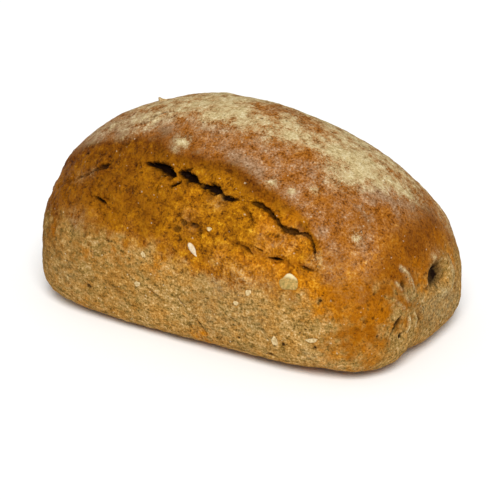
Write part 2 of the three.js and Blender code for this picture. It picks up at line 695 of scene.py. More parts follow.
@dataclass(frozen=True)
class BakedCrust:
    """Baked bread crust: a skin of dough that dried, browned and split in the oven.

    Flour and meal lie on it as a matt dust. Where it tore, bare dough browned with a faint waxy gleam.
    """

    # Bare and floured crown, loose flour, torn dough, caramel crust, and the tin side bare and under meal.
    crown: Palette = Palette(("#442004", "#7a440a", "#9a5a14", "#ac6c20", "#c48c4a"))
    film: Palette = Palette(("#5a3e28", "#84603e", "#9c7856", "#b49070", "#d8c0a0"))
    flour: Palette = Palette(("#8a7444", "#b29a68", "#c6b080", "#d4c294", "#e6d8b4"))
    burst: Palette = Palette(("#381a00", "#784600", "#a46604", "#be7e06", "#e0aa2c"))
    caramel: Palette = Palette(("#5a2e02", "#965802", "#b86e04", "#ce840a", "#e4a83a"))
    tin: Palette = Palette(("#3c2a10", "#80642e", "#aa8648", "#c8a26a", "#ead4a6"))
    meal: Palette = Palette(("#40341a", "#7a6640", "#9e8858", "#baa478", "#dccaa2"))
    # Multiplied into the crust where it is seared and where shade is painted with the seared mark.
    seared: str = "#b8a880"
    # The colour that the painted shade in tears, slits, pits, pores and the bubble hole turns to.
    hollow: str = "#1a0a02"
    # Bran and pale grit.
    flecks: tuple[Fleck, ...] = (Fleck("#3e2810", 0.75, 0.0), Fleck("#dccba8", 0.45, 0.3))
    # A crust's waxes and starch bend light about as cooking oil does, but its pores hide most of the gleam.
    ior: float = 1.45
    gleam: float = 0.07
    torn_rough: float = 0.55
    dusty_rough: float = 0.88
    # Millimetres across: browned areas, blotches, strands of stretched skin, bran and crumbs. Flour is too
    # fine to show, about 0.1 mm, so its clumps are drawn.
    area_size: float = 13.0
    blotch_size: float = 4.6
    strand_size: float = 2.0
    grit_size: float = 1.25
    flour_clump: float = 0.8
    # Millimetres from fleck to fleck, and the share of that which the biggest reach from their middle. How
    # much rarer big ones are, and how ragged the dust makes them.
    fleck_spacing: float = 2.9
    fleck_reach: float = 0.27
    fleck_rarity: float = 3
    fleck_ragged: float = 0.16
    # The strands run along the loaf, and are this share as broad as long. The turn takes their pattern
    # off its own grid, so that no rows show.
    strand_narrow: float = 0.45
    strand_turn: float = -52.0
    # The share of the tin sides' bare spots that is amber.
    amber: float = 0.55
    # How deep the pores and blisters are, in millimetres, and how strongly they show.
    pore_depth: float = 0.5
    pore_show: float = 0.6
    blister_depth: float = 1.2
    blister_show: float = 0.5
    # The middle part of the noise, which is stretched to the full range.
    noise_span: tuple[float, float] = (0.345, 0.655)

    def noise(self, tree: bpy.types.NodeTree, where: bpy.types.NodeSocket, size: float,
              detail: float = 3.0, rough: float = 0.65) -> bpy.types.NodeSocket:
        """Adds a fractal pattern whose coarsest waves are `size` millimetres across, from 0 to 1.

        Args:
            tree: the node tree.
            where: the place on the loaf.
            size: the coarsest waves, in millimetres.
            detail: how many finer layers there are.
            rough: each layer's strength as a share of the last.

        Returns:
            The pattern.
        """
        low, high = self.noise_span
        made = add_node(tree, "TexNoise", Vector=where, Scale=per_mm(size), Detail=detail,
                        Roughness=rough)
        return add_node(tree, "MapRange", Value=made.outputs[0], From_Min=low, From_Max=high).outputs[0]

    def blended(self, tree: bpy.types.NodeTree, first: bpy.types.NodeSocket,
                second: bpy.types.NodeSocket, share: float) -> bpy.types.NodeSocket:
        """Adds a pattern made of two, of which `share` is the first one's part.

        Args:
            tree: the node tree.
            first: one pattern.
            second: the other.
            share: the first one's part.

        Returns:
            The pattern, from 0 to 1.
        """
        part = add_node(tree, "Math", {"operation": "MULTIPLY", "use_clamp": True}, i0=second, i1=1 - share)
        return add_node(tree, "Math", {"operation": "MULTIPLY_ADD", "use_clamp": True}, i0=first, i1=share,
                        i2=part.outputs[0]).outputs[0]

    def broken(self, tree: bpy.types.NodeTree, mark: bpy.types.NodeSocket,
               pattern: bpy.types.NodeSocket, grip: float = 0.5) -> bpy.types.NodeSocket:
        """Breaks a mark up by a pattern, so that it ends in grains and not in a fade.

        The pattern swings a mark of a half by up to the grip, and leaves a bare or a full one alone.

        Args:
            tree: the node tree.
            mark: the mark, from 0 to 1.
            pattern: the pattern, from 0 to 1.
            grip: how strongly the pattern breaks it up.

        Returns:
            The broken mark, from 0 to 1.
        """
        # A mark of a half leaves a quarter of room, so a swing of four grips moves it by one grip.
        most = 4 * grip
        rest = add_node(tree, "Math", {"operation": "SUBTRACT"}, i0=1.0, i1=mark).outputs[0]
        room = add_node(tree, "Math", {"operation": "MULTIPLY"}, i0=mark, i1=rest).outputs[0]
        swing = add_node(tree, "Math", {"operation": "MULTIPLY_ADD"}, i0=pattern, i1=2 * most, i2=-most)
        return add_node(tree, "Math", {"operation": "MULTIPLY_ADD", "use_clamp": True}, i0=room,
                        i1=swing.outputs[0], i2=mark).outputs[0]

    def flecked(self, tree: bpy.types.NodeTree, colour: bpy.types.NodeSocket, where: bpy.types.NodeSocket,
                dust: bpy.types.NodeSocket, fleck: Fleck) -> bpy.types.NodeSocket:
        """Scatters ragged flecks over a colour, few of them as big as they can be.

        Args:
            tree: the node tree.
            colour: the colour under them.
            where: the place on the loaf.
            dust: the fine pattern that makes their edges ragged.
            fleck: the kind of fleck.

        Returns:
            The flecked colour.
        """
        clamped = {"use_clamp": True}
        moved = add_node(tree, "Mapping", {"vector_type": "POINT"}, Vector=where, Location=(fleck.shift,) * 3)
        spots = add_node(tree, "TexVoronoi", Vector=moved.outputs[0], Scale=per_mm(self.fleck_spacing))
        number = add_node(tree, "SeparateColor", Color=spots.outputs["Color"]).outputs[0]
        rare = add_node(tree, "Math", {"operation": "POWER"} | clamped, i0=number, i1=self.fleck_rarity)
        reach = add_node(tree, "Math", {"operation": "MULTIPLY"} | clamped, i0=rare.outputs[0],
                         i1=self.fleck_reach)
        ragged = add_node(tree, "Math", {"operation": "MULTIPLY_ADD"} | clamped, i0=dust,
                          i1=self.fleck_ragged, i2=spots.outputs["Distance"])
        inside = add_node(tree, "Math", {"operation": "LESS_THAN"} | clamped, i0=ragged.outputs[0],
                          i1=reach.outputs[0])
        share = add_node(tree, "Math", {"operation": "MULTIPLY"} | clamped, i0=inside.outputs[0],
                         i1=fleck.strength)
        return add_node(tree, "Mix", {"data_type": "RGBA"}, i0=share.outputs[0], i6=colour,
                        i7=linear(fleck.colour)).outputs[2]

    def make(self) -> bpy.types.Material:
        """Builds the material from the crust's marks and its patterns.

        Returns:
            The material.
        """
        material = bpy.data.materials.new("baked_bread_crust")
        material.use_nodes = True
        tree = material.node_tree
        shader = tree.nodes["Principled BSDF"]
        where = add_node(tree, "TexCoord").outputs["Object"]
        marks = {mark: add_node(tree, "Attribute", {"attribute_name": mark.value}).outputs["Fac"]
                 for mark in Mark}

        # The skin stretched as the loaf rose, and its grain runs along the loaf in short strands.
        drawn = add_node(tree, "Mapping", {"vector_type": "POINT"}, Vector=where,
                         Rotation=(0, math.radians(self.strand_turn), 0),
                         Scale=(self.strand_narrow, 1, 1)).outputs[0]
        areas = self.noise(tree, where, self.area_size, 3)
        blotch = self.noise(tree, where, self.blotch_size, 4)
        strand = self.noise(tree, drawn, self.strand_size, 3, 0.72)
        grit = self.noise(tree, where, self.grit_size, 2.5, 0.75)
        dust = self.noise(tree, where, self.flour_clump, 2, 0.8)
        fine = self.blended(tree, grit, blotch, 0.62)
        sides = self.blended(tree, strand, grit, 0.5)
        soft = self.blended(tree, strand, blotch, 0.5)
        crumb = self.blended(tree, grit, blotch, 0.48)

        # The tin side, where amber dough shows through in spots if the meal is thin.
        meal = self.broken(tree, marks[Mark.MEAL], self.blended(tree, areas, grit, 0.6), 0.6)
        tin = self.meal.over(tree, self.tin.ramp(tree, sides), meal, sides)
        bare = self.broken(tree, areas, soft, 0.8)
        spots = add_node(tree, "Math", {"operation": "MULTIPLY", "use_clamp": True}, i0=bare, i1=self.amber)
        tin = self.burst.over(tree, tin, spots.outputs[0], sides)

        # From the brown crown up to the flour, in the order that they lie on the loaf.
        film = self.broken(tree, marks[Mark.FILM], self.blended(tree, dust, blotch, 0.6), 0.7)
        colour = self.film.over(tree, self.crown.ramp(tree, fine), film, fine)
        side = self.broken(tree, marks[Mark.TIN], soft, 0.6)
        colour = add_node(tree, "Mix", {"data_type": "RGBA"}, i0=side, i6=colour, i7=tin).outputs[2]
        torn = self.broken(tree, marks[Mark.BURST], soft, 0.5)
        colour = self.burst.over(tree, colour, torn, crumb)
        warm = self.broken(tree, marks[Mark.WARM], self.blended(tree, areas, soft, 0.4), 0.8)
        colour = self.caramel.over(tree, colour, warm, fine)
        # Seared crust, and painted shade in deep crumbs, along grooves and over the left of the loaf,
        # multiply the colour darker.
        seared_and_shaded = self.broken(tree, marks[Mark.SEARED_AND_SHADE], self.blended(tree, blotch, grit, 0.6), 0.6)
        colour = add_node(tree, "Mix", {"data_type": "RGBA", "blend_type": "MULTIPLY"}, i0=seared_and_shaded,
                          i6=colour, i7=linear(self.seared)).outputs[2]
        cling = self.broken(tree, marks[Mark.FLOUR], self.blended(tree, dust, blotch, 0.5), 0.7)
        colour = self.flour.over(tree, colour, cling, fine)
        for fleck in self.flecks:
            colour = self.flecked(tree, colour, where, dust, fleck)
        # Painted shade in tears, slits, pits, pores and the bubble hole.
        colour = add_node(tree, "Mix", {"data_type": "RGBA"}, i0=marks[Mark.PAINTED_SHADE], i6=colour,
                          i7=linear(self.hollow)).outputs[2]
        tree.links.new(colour, shader.inputs["Base Color"])

        # Torn dough keeps a faint waxy gleam, dust kills it, and the crust's pores break up the rest.
        dull = add_node(tree, "MapRange", Value=torn, To_Min=self.dusty_rough, To_Max=self.torn_rough)
        tree.links.new(dull.outputs[0], shader.inputs["Roughness"])
        shader.inputs["IOR"].default_value = self.ior
        shader.inputs["Specular IOR Level"].default_value = self.gleam
        shader.inputs["Metallic"].default_value = 0.0
        pores = add_node(tree, "Bump", Strength=self.pore_show, Distance=self.pore_depth * MM, Height=grit)
        blisters = add_node(tree, "Bump", Strength=self.blister_show, Distance=self.blister_depth * MM,
                            Height=blotch, Normal=pores.outputs[0])
        tree.links.new(blisters.outputs[0], shader.inputs["Normal"])
        return material


@dataclass(frozen=True)
class DrySeed:
    """A dry grain from the dough: a hulled kernel or a rolled flake.

    Hulling leaves a kernel's skin smooth with a faint waxy gleam. Rolling bursts a flake, and it dries matt
    and mealy.
    """

    name: str
    pale: str
    dark: str
    rough: float
    # How far apart its mottles are, in millimetres, and the part of the noise that they take up.
    grain: float = 1.2
    noise_span: tuple[float, float] = (0.35, 0.65)
    # The colour that a flake turns to towards its highest edge.
    rim: str = "#e6d6a6"
    ior: float = 1.45
    gleam: float = 0.3

    def make(self) -> bpy.types.Material:
        """Builds the material.

        Returns:
            The material.
        """
        material = bpy.data.materials.new(self.name)
        material.use_nodes = True
        tree = material.node_tree
        shader = tree.nodes["Principled BSDF"]
        where = add_node(tree, "TexCoord").outputs["Object"]
        mottle = add_node(tree, "TexNoise", Vector=where, Scale=per_mm(self.grain), Detail=3.0)
        low, high = self.noise_span
        level = add_node(tree, "MapRange", Value=mottle.outputs[0], From_Min=low, From_Max=high)
        colour = add_node(tree, "Mix", {"data_type": "RGBA"}, i0=level.outputs[0],
                          i6=linear(self.dark), i7=linear(self.pale))
        raised = add_node(tree, "Attribute", {"attribute_name": RAISED_RIM}).outputs["Fac"]
        rimmed = add_node(tree, "Mix", {"data_type": "RGBA"}, i0=raised, i6=colour.outputs[2],
                          i7=linear(self.rim))
        tree.links.new(rimmed.outputs[2], shader.inputs["Base Color"])
        shader.inputs["Roughness"].default_value = self.rough
        shader.inputs["IOR"].default_value = self.ior
        shader.inputs["Specular IOR Level"].default_value = self.gleam
        return material


# ------------------------------------------------------------------ parts of the crust


@dataclass(frozen=True)
class TornBand:
    """The band along the -Y side where the dough tore, the lip over it and the tin side under it.

    A pair of sizes is where a step starts and where it is full. Most are measured from the lip, with the
    torn dough below 0, or from the foot, with it above 0. The others lie along one axis.
    """

    # The edge of the floured top crust over the burst, from the -X end to the +X end.
    # Each station carries how seared the dough is under it, and how far the edge stands out.
    lip: CrustLine = CrustLine((
        (-114, 14, 48, 0.2, 0), (-111, -6, 62, 0.4, 0), (-104, -27, 70, 0.7, 0), (-97, -34, 77, 0.85, 0.1),
        (-87, -33, 83.5, 0.9, 0.3), (-77, -33, 88, 0.85, 0.5), (-66, -34, 92.5, 0.9, 0.6),
        (-51, -34, 97.5, 0.9, 0.6), (-37, -35, 100, 0.7, 0.6), (-28, -38, 98.5, 0.45, 0.7),
        (-14, -40, 98.5, 0.5, 0.9), (-1, -40, 98.5, 0.5, 0.9), (12, -39, 98.5, 0.8, 1.1),
        (24, -41, 96, 0.95, 1.2), (36, -43, 91.5, 0.9, 1.2), (45, -43, 89, 0.7, 1.1),
        (53, -45, 86, 0.45, 0.9), (64, -46, 81, 0.15, 0.8), (70, -48, 76, 0.2, 0.7),
        (75, -50, 70, 0.1, 0.7), (78, -54, 63, 0.05, 0.5), (79, -57, 56, 0, 0.2),
    ), steps=3)
    # Where the burst starts, at the height of the tin's rim.
    foot: CrustLine = CrustLine((
        (-114, 14, 46), (-112, -15, 49), (-106, -40, 51), (-98, -51, 56), (-82, -58, 58), (-63, -61, 57),
        (-46, -63, 57), (-26, -64, 56), (-15, -64, 54), (1, -65, 50), (23, -66, 46), (36, -66, 45),
        (55, -63, 49), (69, -61, 52), (84, -56, 53),
    ), steps=3)
    lip_waver: Pattern = Pattern(9, 3, height=1.2)
    foot_waver: float = 5
    # Where the burst fades out: round the ends, under the lip and over the foot.
    front: tuple[float, float] = (16, -4)
    torn_under_lip: tuple[float, float] = (1.0, -2.4)
    torn_over_foot: tuple[float, float] = (-8, 8)
    # Where the tin side ends: under the foot, or at a height of its own on the right and round the back.
    tin_under_foot: tuple[float, float] = (6, -8)
    right_end: tuple[float, float] = (74, 92)
    back: tuple[float, float] = (5, 20)
    tin_height: tuple[float, float] = (60, 42)
    tin_waver: float = 4
    # The lip's bulge and the trough under it: where each lies and how broad it is.
    bulge: tuple[float, float] = (2.0, 4.5)
    trough: tuple[float, float] = (-4, 3)
    # How deep the torn dough sits, and how much deeper at the left.
    depth: float = 1.2
    deep_over_foot: tuple[float, float] = (6, 18)
    deep_under_lip: tuple[float, float] = (2, 10)
    left_depth: float = 0.3
    left: tuple[float, float] = (-78, -100)
    # The seared line under the lip: where it lies, how broad it is, and how strong and how mottled.
    seared_line: tuple[float, float] = (-2.0, 3.8)
    seared_over_foot: tuple[float, float] = (-1, 5)
    seared_strength: float = 1.15
    seared_mottle: float = 0.5

    def press(self, crust: Crust, waves: Waves) -> None:
        """Marks the torn dough and the tin side, sinks the one and raises the lip over it.

        Args:
            crust: the crust.
            waves: the waves that the lip wavers by.
        """
        x, y, z = crust.rest.T
        lip, carried = self.lip.measure(crust, sided=True)
        foot, _ = self.foot.measure(crust, sided=True)
        lip += waves.at(crust.rest, self.lip_waver)
        foot += self.foot_waver * crust.mottle
        seared, height = carried.T
        front = eased(*self.front, y)
        burst = eased(*self.torn_under_lip, lip) * eased(*self.torn_over_foot, foot) * front
        crust.mark(Mark.BURST, burst)
        beyond = np.maximum(eased(*self.right_end, x), eased(*self.back, y))
        tin_edge = eased(*self.tin_height, z + self.tin_waver * crust.mottle)
        crust.mark(Mark.TIN, (1 - beyond) * eased(*self.tin_under_foot, foot) + beyond * tin_edge)

        bulge, trough = (hump(lip - place, width) for place, width in (self.bulge, self.trough))
        crust.lift(front * height * (bulge - trough * burst))
        deep = eased(*self.deep_over_foot, foot) * eased(*self.deep_under_lip, -lip)
        crust.lift(-self.depth * burst * deep)
        crust.lift(-self.left_depth * burst * eased(*self.left, x))
        place, width = self.seared_line
        seared = seared * hump(lip - place, width) * front * eased(*self.seared_over_foot, foot)
        crust.mark(Mark.SEARED_AND_SHADE, seared * (self.seared_strength + self.seared_mottle * crust.mottle))


@dataclass(frozen=True)
class Skin:
    """The lumps, strands, crumbs and pores of the crust, each in millimetres."""

    lumps: tuple[Pattern, ...] = (Pattern(26, 2, height=0.5), Pattern(9, 3, shift=5, height=0.25))
    # How much the tin kept the lumps down, and the height under which the base is flat.
    pressed: float = 0.5
    base_height: float = 0.01
    # Torn dough: flat crumbs with cracks between them, and painted shade where it is deepest.
    crumb_shape: tuple[float, float, float] = (0.8, 0.6, 1.0)
    crumbs: Pattern = Pattern(6, 4, 0.62, height=0.8)
    cracks: Pattern = Pattern(7, 2, shift=60)
    crack_edge: tuple[float, float] = (0.22, 0.0)
    crack_where: tuple[float, float] = (-0.1, 0.3)
    crack_depth: float = 0.9
    shaded_below: tuple[float, float] = (-0.25, -1.0)
    seared: float = 0.6
    # Tin side: strands that slant down to the right, as the dough slid up the tin.
    slant: tuple[tuple[float, float, float], ...] = ((0.62, 0, 0.3), (0, 1, 0), (-0.78, 0, 0.24))
    strands: Pattern = Pattern(3.6, 3, 0.62, height=0.28)
    # Crown: fine wrinkles.
    wrinkles: Pattern = Pattern(3.4, 3, 0.65, shift=9, height=0.2)
    # Pores: how far apart, how wide at least and how much more, and which share of them stays closed.
    pore_spacing: float = 5.5
    pore_width: tuple[float, float] = (0.35, 0.9)
    pore_wall: tuple[float, float] = (1.5, 0.4)
    pore_closed: float = 0.5
    # How deep they are on the crown, and how much deeper on torn dough and on the tin side. Then how much
    # shade is painted in them on torn dough, and how much of that on the tin side.
    pore_depth: tuple[float, float, float] = (0.2, 0.7, 0.3)
    pore_shade: float = 0.6
    pore_shade_on_tin: float = 0.6

    def press(self, crust: Crust, waves: Waves) -> None:
        """Roughens the crust, except the flat base, and paints shade into the deepest crumbs and the pores.

        Args:
            crust: the crust.
            waves: the waves that the skin is made of.
        """
        burst, tin = crust.marks[Mark.BURST], crust.marks[Mark.TIN]
        height = np.zeros(len(crust.rest))
        for lump in self.lumps:
            height += waves.at(crust.rest, lump) * (1 - self.pressed * tin)
        flat = crust.rest * np.array(self.crumb_shape)
        torn = waves.at(flat, self.crumbs)
        crack = eased(*self.crack_edge, np.abs(waves.at(flat, self.cracks)))
        torn -= self.crack_depth * crack * eased(*self.crack_where, crust.mottle)
        strands = waves.at(crust.rest @ np.array(self.slant), self.strands)
        wrinkles = waves.at(crust.rest, self.wrinkles)
        height = height + burst * torn + tin * strands + (1 - burst) * (1 - tin) * wrinkles

        gap, number = waves.cells(crust.rest, self.pore_spacing)
        least, more = self.pore_width
        pore = eased(*self.pore_wall, gap / (least + more * number)) * (number > self.pore_closed)
        on_crown, on_torn, on_tin = self.pore_depth
        height -= pore * (on_crown + on_torn * burst + on_tin * tin)
        # Painted shade at the bottom of the crumbs and in the pores.
        crust.mark(Mark.SEARED_AND_SHADE, self.seared * burst * eased(*self.shaded_below, torn))
        crust.mark(Mark.PAINTED_SHADE, self.pore_shade * pore * (burst + self.pore_shade_on_tin * tin))
        off_base = crust.rest[:, 2] > self.base_height
        crust.lift(height * off_base)


@dataclass(frozen=True)
class Coating:
    """What lies on the crust or coloured it: flour, meal, caramel and seared dough, and some painted shade.

    A pair of sizes is where a step starts and where it is full.
    """

    strokes: tuple[Stroke, ...] = (
        # Flour that was rubbed off to a thin veil over the brown crown.
        Stroke(Mark.FILM, CrustLine(((-106, 10, 66, 8, 0.6), (-90, -16, 87, 10, 0.9), (-70, -20, 97, 12, 0.9),
                                     (-50, -22, 104, 10, 0.75), (-30, -28, 105, 7, 0.45)))),
        Stroke(Mark.FILM, CrustLine((
            (6, -34, 101.5, 3, 0.35), (14, -36, 100.4, 4, 0.6), (28, -37, 97.4, 4, 0.75),
            (45, -40, 91.5, 3.5, 0.45), (58, -42, 86, 3, 0.15), (70, -45, 76, 4, 0.45),
            (79, -48, 69, 4, 0.5), (84, -50, 62, 3, 0.2),
        )), stray=1.5),
        Stroke(Mark.FILM, CrustLine(((60, -20, 97, 5, 0.3), (82, -9, 88.7, 6, 0.75), (92, -2, 81, 7, 0.75),
                                     (100, 16, 71, 6, 0.5), (102, 42, 53, 6, 0.5)))),
        Stroke(Mark.FILM, CrustLine((
            (-15, -24, 109, 8, 0.5), (10, -26, 107.5, 9, 0.3), (35, -27, 102, 8, 0.2),
            (55, -30, 94, 8, 0.2),
        ))),
        Stroke(Mark.FLOUR, CrustLine((
            (-95, -6, 84, 7, 0.25), (-80, -18, 92, 8, 0.3), (-66, -20, 99, 8, 0.35),
            (-52, -21, 104, 8, 0.5), (-40, -19, 108, 7, 0.4), (-28, -10, 112, 6, 0.3),
        ))),
        Stroke(Mark.FLOUR, CrustLine(((60, -14, 99, 5, 0.3), (68, -19, 94.5, 6, 0.5), (76, -12, 93, 6, 0.5),
                                      (84, -3, 88, 4, 0.3)))),
        # Thick flour along the top, which thins out towards both ends.
        Stroke(Mark.FLOUR, CrustLine((
            (-80, 4, 96, 9, 0.45), (-55, -4, 106, 10, 0.6), (-30, -6, 112.5, 11, 0.75),
            (-12, -6, 114.5, 12, 0.85), (5, -12, 113.5, 9, 0.75), (20, -13, 112, 7, 0.7),
            (33, -11, 110, 6, 0.75), (46, -7, 107, 7, 0.75), (58, -4, 102.5, 8, 0.85),
            (70, -3, 97, 10, 1.1), (80, 3, 91, 8, 1.0), (89, 11, 83.5, 5, 0.8), (96, 18, 76, 4, 0.3),
        ))),
        Stroke(Mark.FLOUR, CrustLine((
            (-60, 20, 103, 12, 0.7), (-20, 18, 112, 12, 0.9), (20, 24, 109, 12, 0.85),
            (55, 20, 98, 12, 0.8), (84, 24, 80, 8, 0.5),
        ))),
        Stroke(Mark.FLOUR, CrustLine(((-60, 30, 98, 12, 0.5), (0, 44, 98, 12, 0.55), (60, 40, 84, 12, 0.5)))),
        # Caramel-brown crust round the burst's right end and down the corner.
        Stroke(Mark.WARM, CrustLine((
            (8, -66, 50, 3, 0.3), (22, -66, 50, 3, 0.35), (38, -66, 52, 3, 0.5), (55, -64, 53, 4, 0.6),
            (72, -61, 52, 5, 0.6), (88, -56, 44, 8, 0.6), (100, -47, 42, 9, 0.5), (108, -38, 42, 8, 0.25),
        ))),
        Stroke(Mark.WARM, CrustLine(((86, -51, 60, 6, 0.1), (92, -56, 46, 9, 0.5), (93, -61, 28, 8, 0.5),
                                     (90, -62, 10, 7, 0.3)))),
        Stroke(Mark.WARM, CrustLine(((108, 14, 60, 4, 0.3), (112, 24, 46, 3, 0.7), (114, 24, 32, 2.5, 0.6)))),
        Stroke(Mark.WARM, CrustLine((
            (109, -12, 56, 4, 0.6), (112, -12, 44, 3, 0.6), (114, -12, 34, 2, 0.3),
        ))),
        Stroke(Mark.WARM, CrustLine(((98, -48, 54, 6, 0.2), (102, -44, 40, 9, 0.5), (100, -52, 22, 9, 0.55),
                                     (97, -56, 8, 6, 0.5)))),
        # A darker fold along the right of the burst, and the bright bare dough under it.
        Stroke(Mark.SEARED_AND_SHADE, CrustLine((
            (30, -61, 66, 1.5, 0.5), (40, -61, 63.5, 1.5, 0.55), (52, -61, 62.4, 1.3, 0.45),
            (66, -59, 61, 1.3, 0.4), (76, -56, 59, 1.3, 0.35),
        )), stray=1.0),
        Stroke(Mark.WARM, CrustLine(((14, -65, 59, 3, 0.4), (30, -64, 60, 4, 0.9), (48, -63, 58.6, 4.5, 1.0),
                                     (64, -61, 57.4, 4.5, 0.9), (77, -57, 57, 4, 0.6)))),
        # Grey-brown meal on the lower end.
        Stroke(Mark.MEAL, CrustLine(((112, -26, 46, 5, 0.4), (114, -18, 34, 7, 0.7), (115, 0, 24, 10, 0.9),
                                     (114, 24, 20, 10, 0.8)))),
        # A brown streak along the very top.
        Stroke(Mark.SEARED_AND_SHADE, CrustLine((
            (-8, 11, 115.2, 2, 0.3), (7, 11, 114.8, 2.5, 0.5), (18, 8, 114.2, 2, 0.4),
            (29, 8, 112.3, 2, 0.3),
        ))),
    )
    patches: tuple[Patch, ...] = (
        # Small heaps of flour on the crown and over the hole, and a thin dusting lower down.
        Patch(Mark.FLOUR, (-20, -35, 101), 4.5, 0.75), Patch(Mark.FLOUR, (-12, -18, 112), 5.5, 0.5),
        Patch(Mark.FLOUR, (33, -13, 109.5), 5, 0.4), Patch(Mark.FLOUR, (25, -21, 108.5), 2.5, 0.4),
        Patch(Mark.FLOUR, (61, -33, 91.2), 2.2, 0.75, 1.0),
        Patch(Mark.FLOUR, (50, -39, 90.9), 1.6, 0.5, 1.0), Patch(Mark.FLOUR, (39, -40, 93), 2.6, 0.6, 1.0),
        Patch(Mark.FLOUR, (88, -37, 73), 3.2, 0.5, 1.0), Patch(Mark.FLOUR, (94, -51, 50), 10, 0.04),
        Patch(Mark.FLOUR, (-59, -32, 96), 6, 0.2), Patch(Mark.FLOUR, (23, -67, 45), 7, 0.2),
        Patch(Mark.FLOUR, (111, 6, 51), 3.5, 0.35), Patch(Mark.FLOUR, (80, -65, 13), 7, 0.15),
        Patch(Mark.FLOUR, (27, -2, 113), 7, 0.7), Patch(Mark.FLOUR, (53, 4, 105), 9, 0.5),
        Patch(Mark.FLOUR, (68, 4, 98), 8, 0.4), Patch(Mark.FLOUR, (-10, 4, 115.5), 10, 0.4),
        # Flour rubbed to a film over the brown crust.
        Patch(Mark.FILM, (97, -46, 56), 5, 0.4), Patch(Mark.FILM, (-36, -23, 108), 9, 0.35),
        Patch(Mark.FILM, (88, -52, 57), 9, 0.5), Patch(Mark.FILM, (94, -40, 64), 8, 0.5),
        Patch(Mark.FILM, (92, -36, 72), 6, 0.4), Patch(Mark.FILM, (82, -20, 86), 6, 0.35),
        Patch(Mark.FILM, (-60, -32, 96), 6, 0.6), Patch(Mark.FILM, (-80, -28, 90), 8, 0.4),
        # Grey-brown meal that stuck to the tin sides.
        Patch(Mark.MEAL, (-104, -46, 30), 14, 0.8), Patch(Mark.MEAL, (-76, -62, 26), 14, 0.5),
        Patch(Mark.MEAL, (20, -67, 24), 16, 0.45), Patch(Mark.MEAL, (44, -67, 26), 12, 0.4),
        Patch(Mark.MEAL, (110, 2, 60), 7, 0.5), Patch(Mark.MEAL, (111, 4, 51), 5, 0.5),
        # Amber spots and caramel crust.
        Patch(Mark.WARM, (-60, -67, 40), 5, 0.5), Patch(Mark.WARM, (-40, -67, 46), 6, 0.6),
        Patch(Mark.WARM, (-88, -57, 46), 6, 0.5), Patch(Mark.WARM, (12, -68, 8), 6, 0.7),
        Patch(Mark.WARM, (-14, -67, 44), 5, 0.5), Patch(Mark.WARM, (-66, -66, 8), 4, 0.4),
        Patch(Mark.WARM, (56, -49, 80), 6, 1.0), Patch(Mark.WARM, (44, -52, 79), 4, 0.4),
        Patch(Mark.WARM, (78, -62, 45), 7, 0.4), Patch(Mark.WARM, (104, -52, 25), 11, 0.3),
        Patch(Mark.WARM, (110, -32, 44), 16, 0.5), Patch(Mark.WARM, (112, -4, 47), 6, 0.45),
        # Darker crust: some of it baked longer, and the broad patches round the left end and over the left of
        # the burst, 20 mm and more in reach, are painted shade that darkens the loaf towards its left.
        Patch(Mark.SEARED_AND_SHADE, (-2, -60, 66), 7, 0.35), Patch(Mark.SEARED_AND_SHADE, (20, -66, 38), 6, 0.3),
        Patch(Mark.SEARED_AND_SHADE, (67, -65, 43), 4, 0.3), Patch(Mark.SEARED_AND_SHADE, (-96, -40, 66), 26, 0.6),
        Patch(Mark.SEARED_AND_SHADE, (-100, -48, 36), 24, 0.55), Patch(Mark.SEARED_AND_SHADE, (-66, -50, 78), 20, 0.4),
        Patch(Mark.SEARED_AND_SHADE, (-34, -56, 76), 14, 0.25), Patch(Mark.SEARED_AND_SHADE, (-24, -36, 99), 12, 0.4),
        Patch(Mark.SEARED_AND_SHADE, (110, -10, 66), 14, 0.4), Patch(Mark.SEARED_AND_SHADE, (-52, -44, 88), 13, 0.5),
        Patch(Mark.SEARED_AND_SHADE, (-36, -35, 99), 8, 0.45), Patch(Mark.SEARED_AND_SHADE, (-62, -56, 70), 24, 0.2),
        Patch(Mark.SEARED_AND_SHADE, (-40, -57, 72), 9, 0.3), Patch(Mark.SEARED_AND_SHADE, (-25, -60, 67), 10, 0.4),
        Patch(Mark.SEARED_AND_SHADE, (-70, -64, 40), 24, 0.2), Patch(Mark.SEARED_AND_SHADE, (-48, -67, 28), 22, 0.12),
        Patch(Mark.SEARED_AND_SHADE, (100, 16, 72), 13, 0.45), Patch(Mark.SEARED_AND_SHADE, (108, -36, 46), 13, 0.35),
        Patch(Mark.SEARED_AND_SHADE, (113, -24, 38), 12, 0.3), Patch(Mark.SEARED_AND_SHADE, (115, -11, 18), 6, 0.4),
        Patch(Mark.SEARED_AND_SHADE, (-17, -33, 102), 7, 0.25), Patch(Mark.SEARED_AND_SHADE, (87, -29, 79), 6, 0.3),
        Patch(Mark.SEARED_AND_SHADE, (84, -49, 63), 6, 0.3), Patch(Mark.SEARED_AND_SHADE, (-45, -44, 90), 9, 0.3),
        Patch(Mark.SEARED_AND_SHADE, (-64, -40, 88), 7, 0.35), Patch(Mark.SEARED_AND_SHADE, (102, -54, 14), 8, 0.3),
        Patch(Mark.SEARED_AND_SHADE, (-8, -41, 97), 5, 0.45), Patch(Mark.SEARED_AND_SHADE, (-16, -53, 82), 7, 0.35),
        Patch(Mark.SEARED_AND_SHADE, (-91, -35, 77), 8, 0.35), Patch(Mark.SEARED_AND_SHADE, (-69, -42, 84), 7, 0.25),
        Patch(Mark.SEARED_AND_SHADE, (102, -53, 28), 10, 0.5), Patch(Mark.SEARED_AND_SHADE, (92, -60, 26), 9, 0.4),
        Patch(Mark.SEARED_AND_SHADE, (89, -56, 47), 9, 0.4), Patch(Mark.SEARED_AND_SHADE, (99, -49, 46), 9, 0.4),
        Patch(Mark.SEARED_AND_SHADE, (110, -42, 22), 9, 0.3), Patch(Mark.SEARED_AND_SHADE, (114, -25, 28), 6, 0.3),
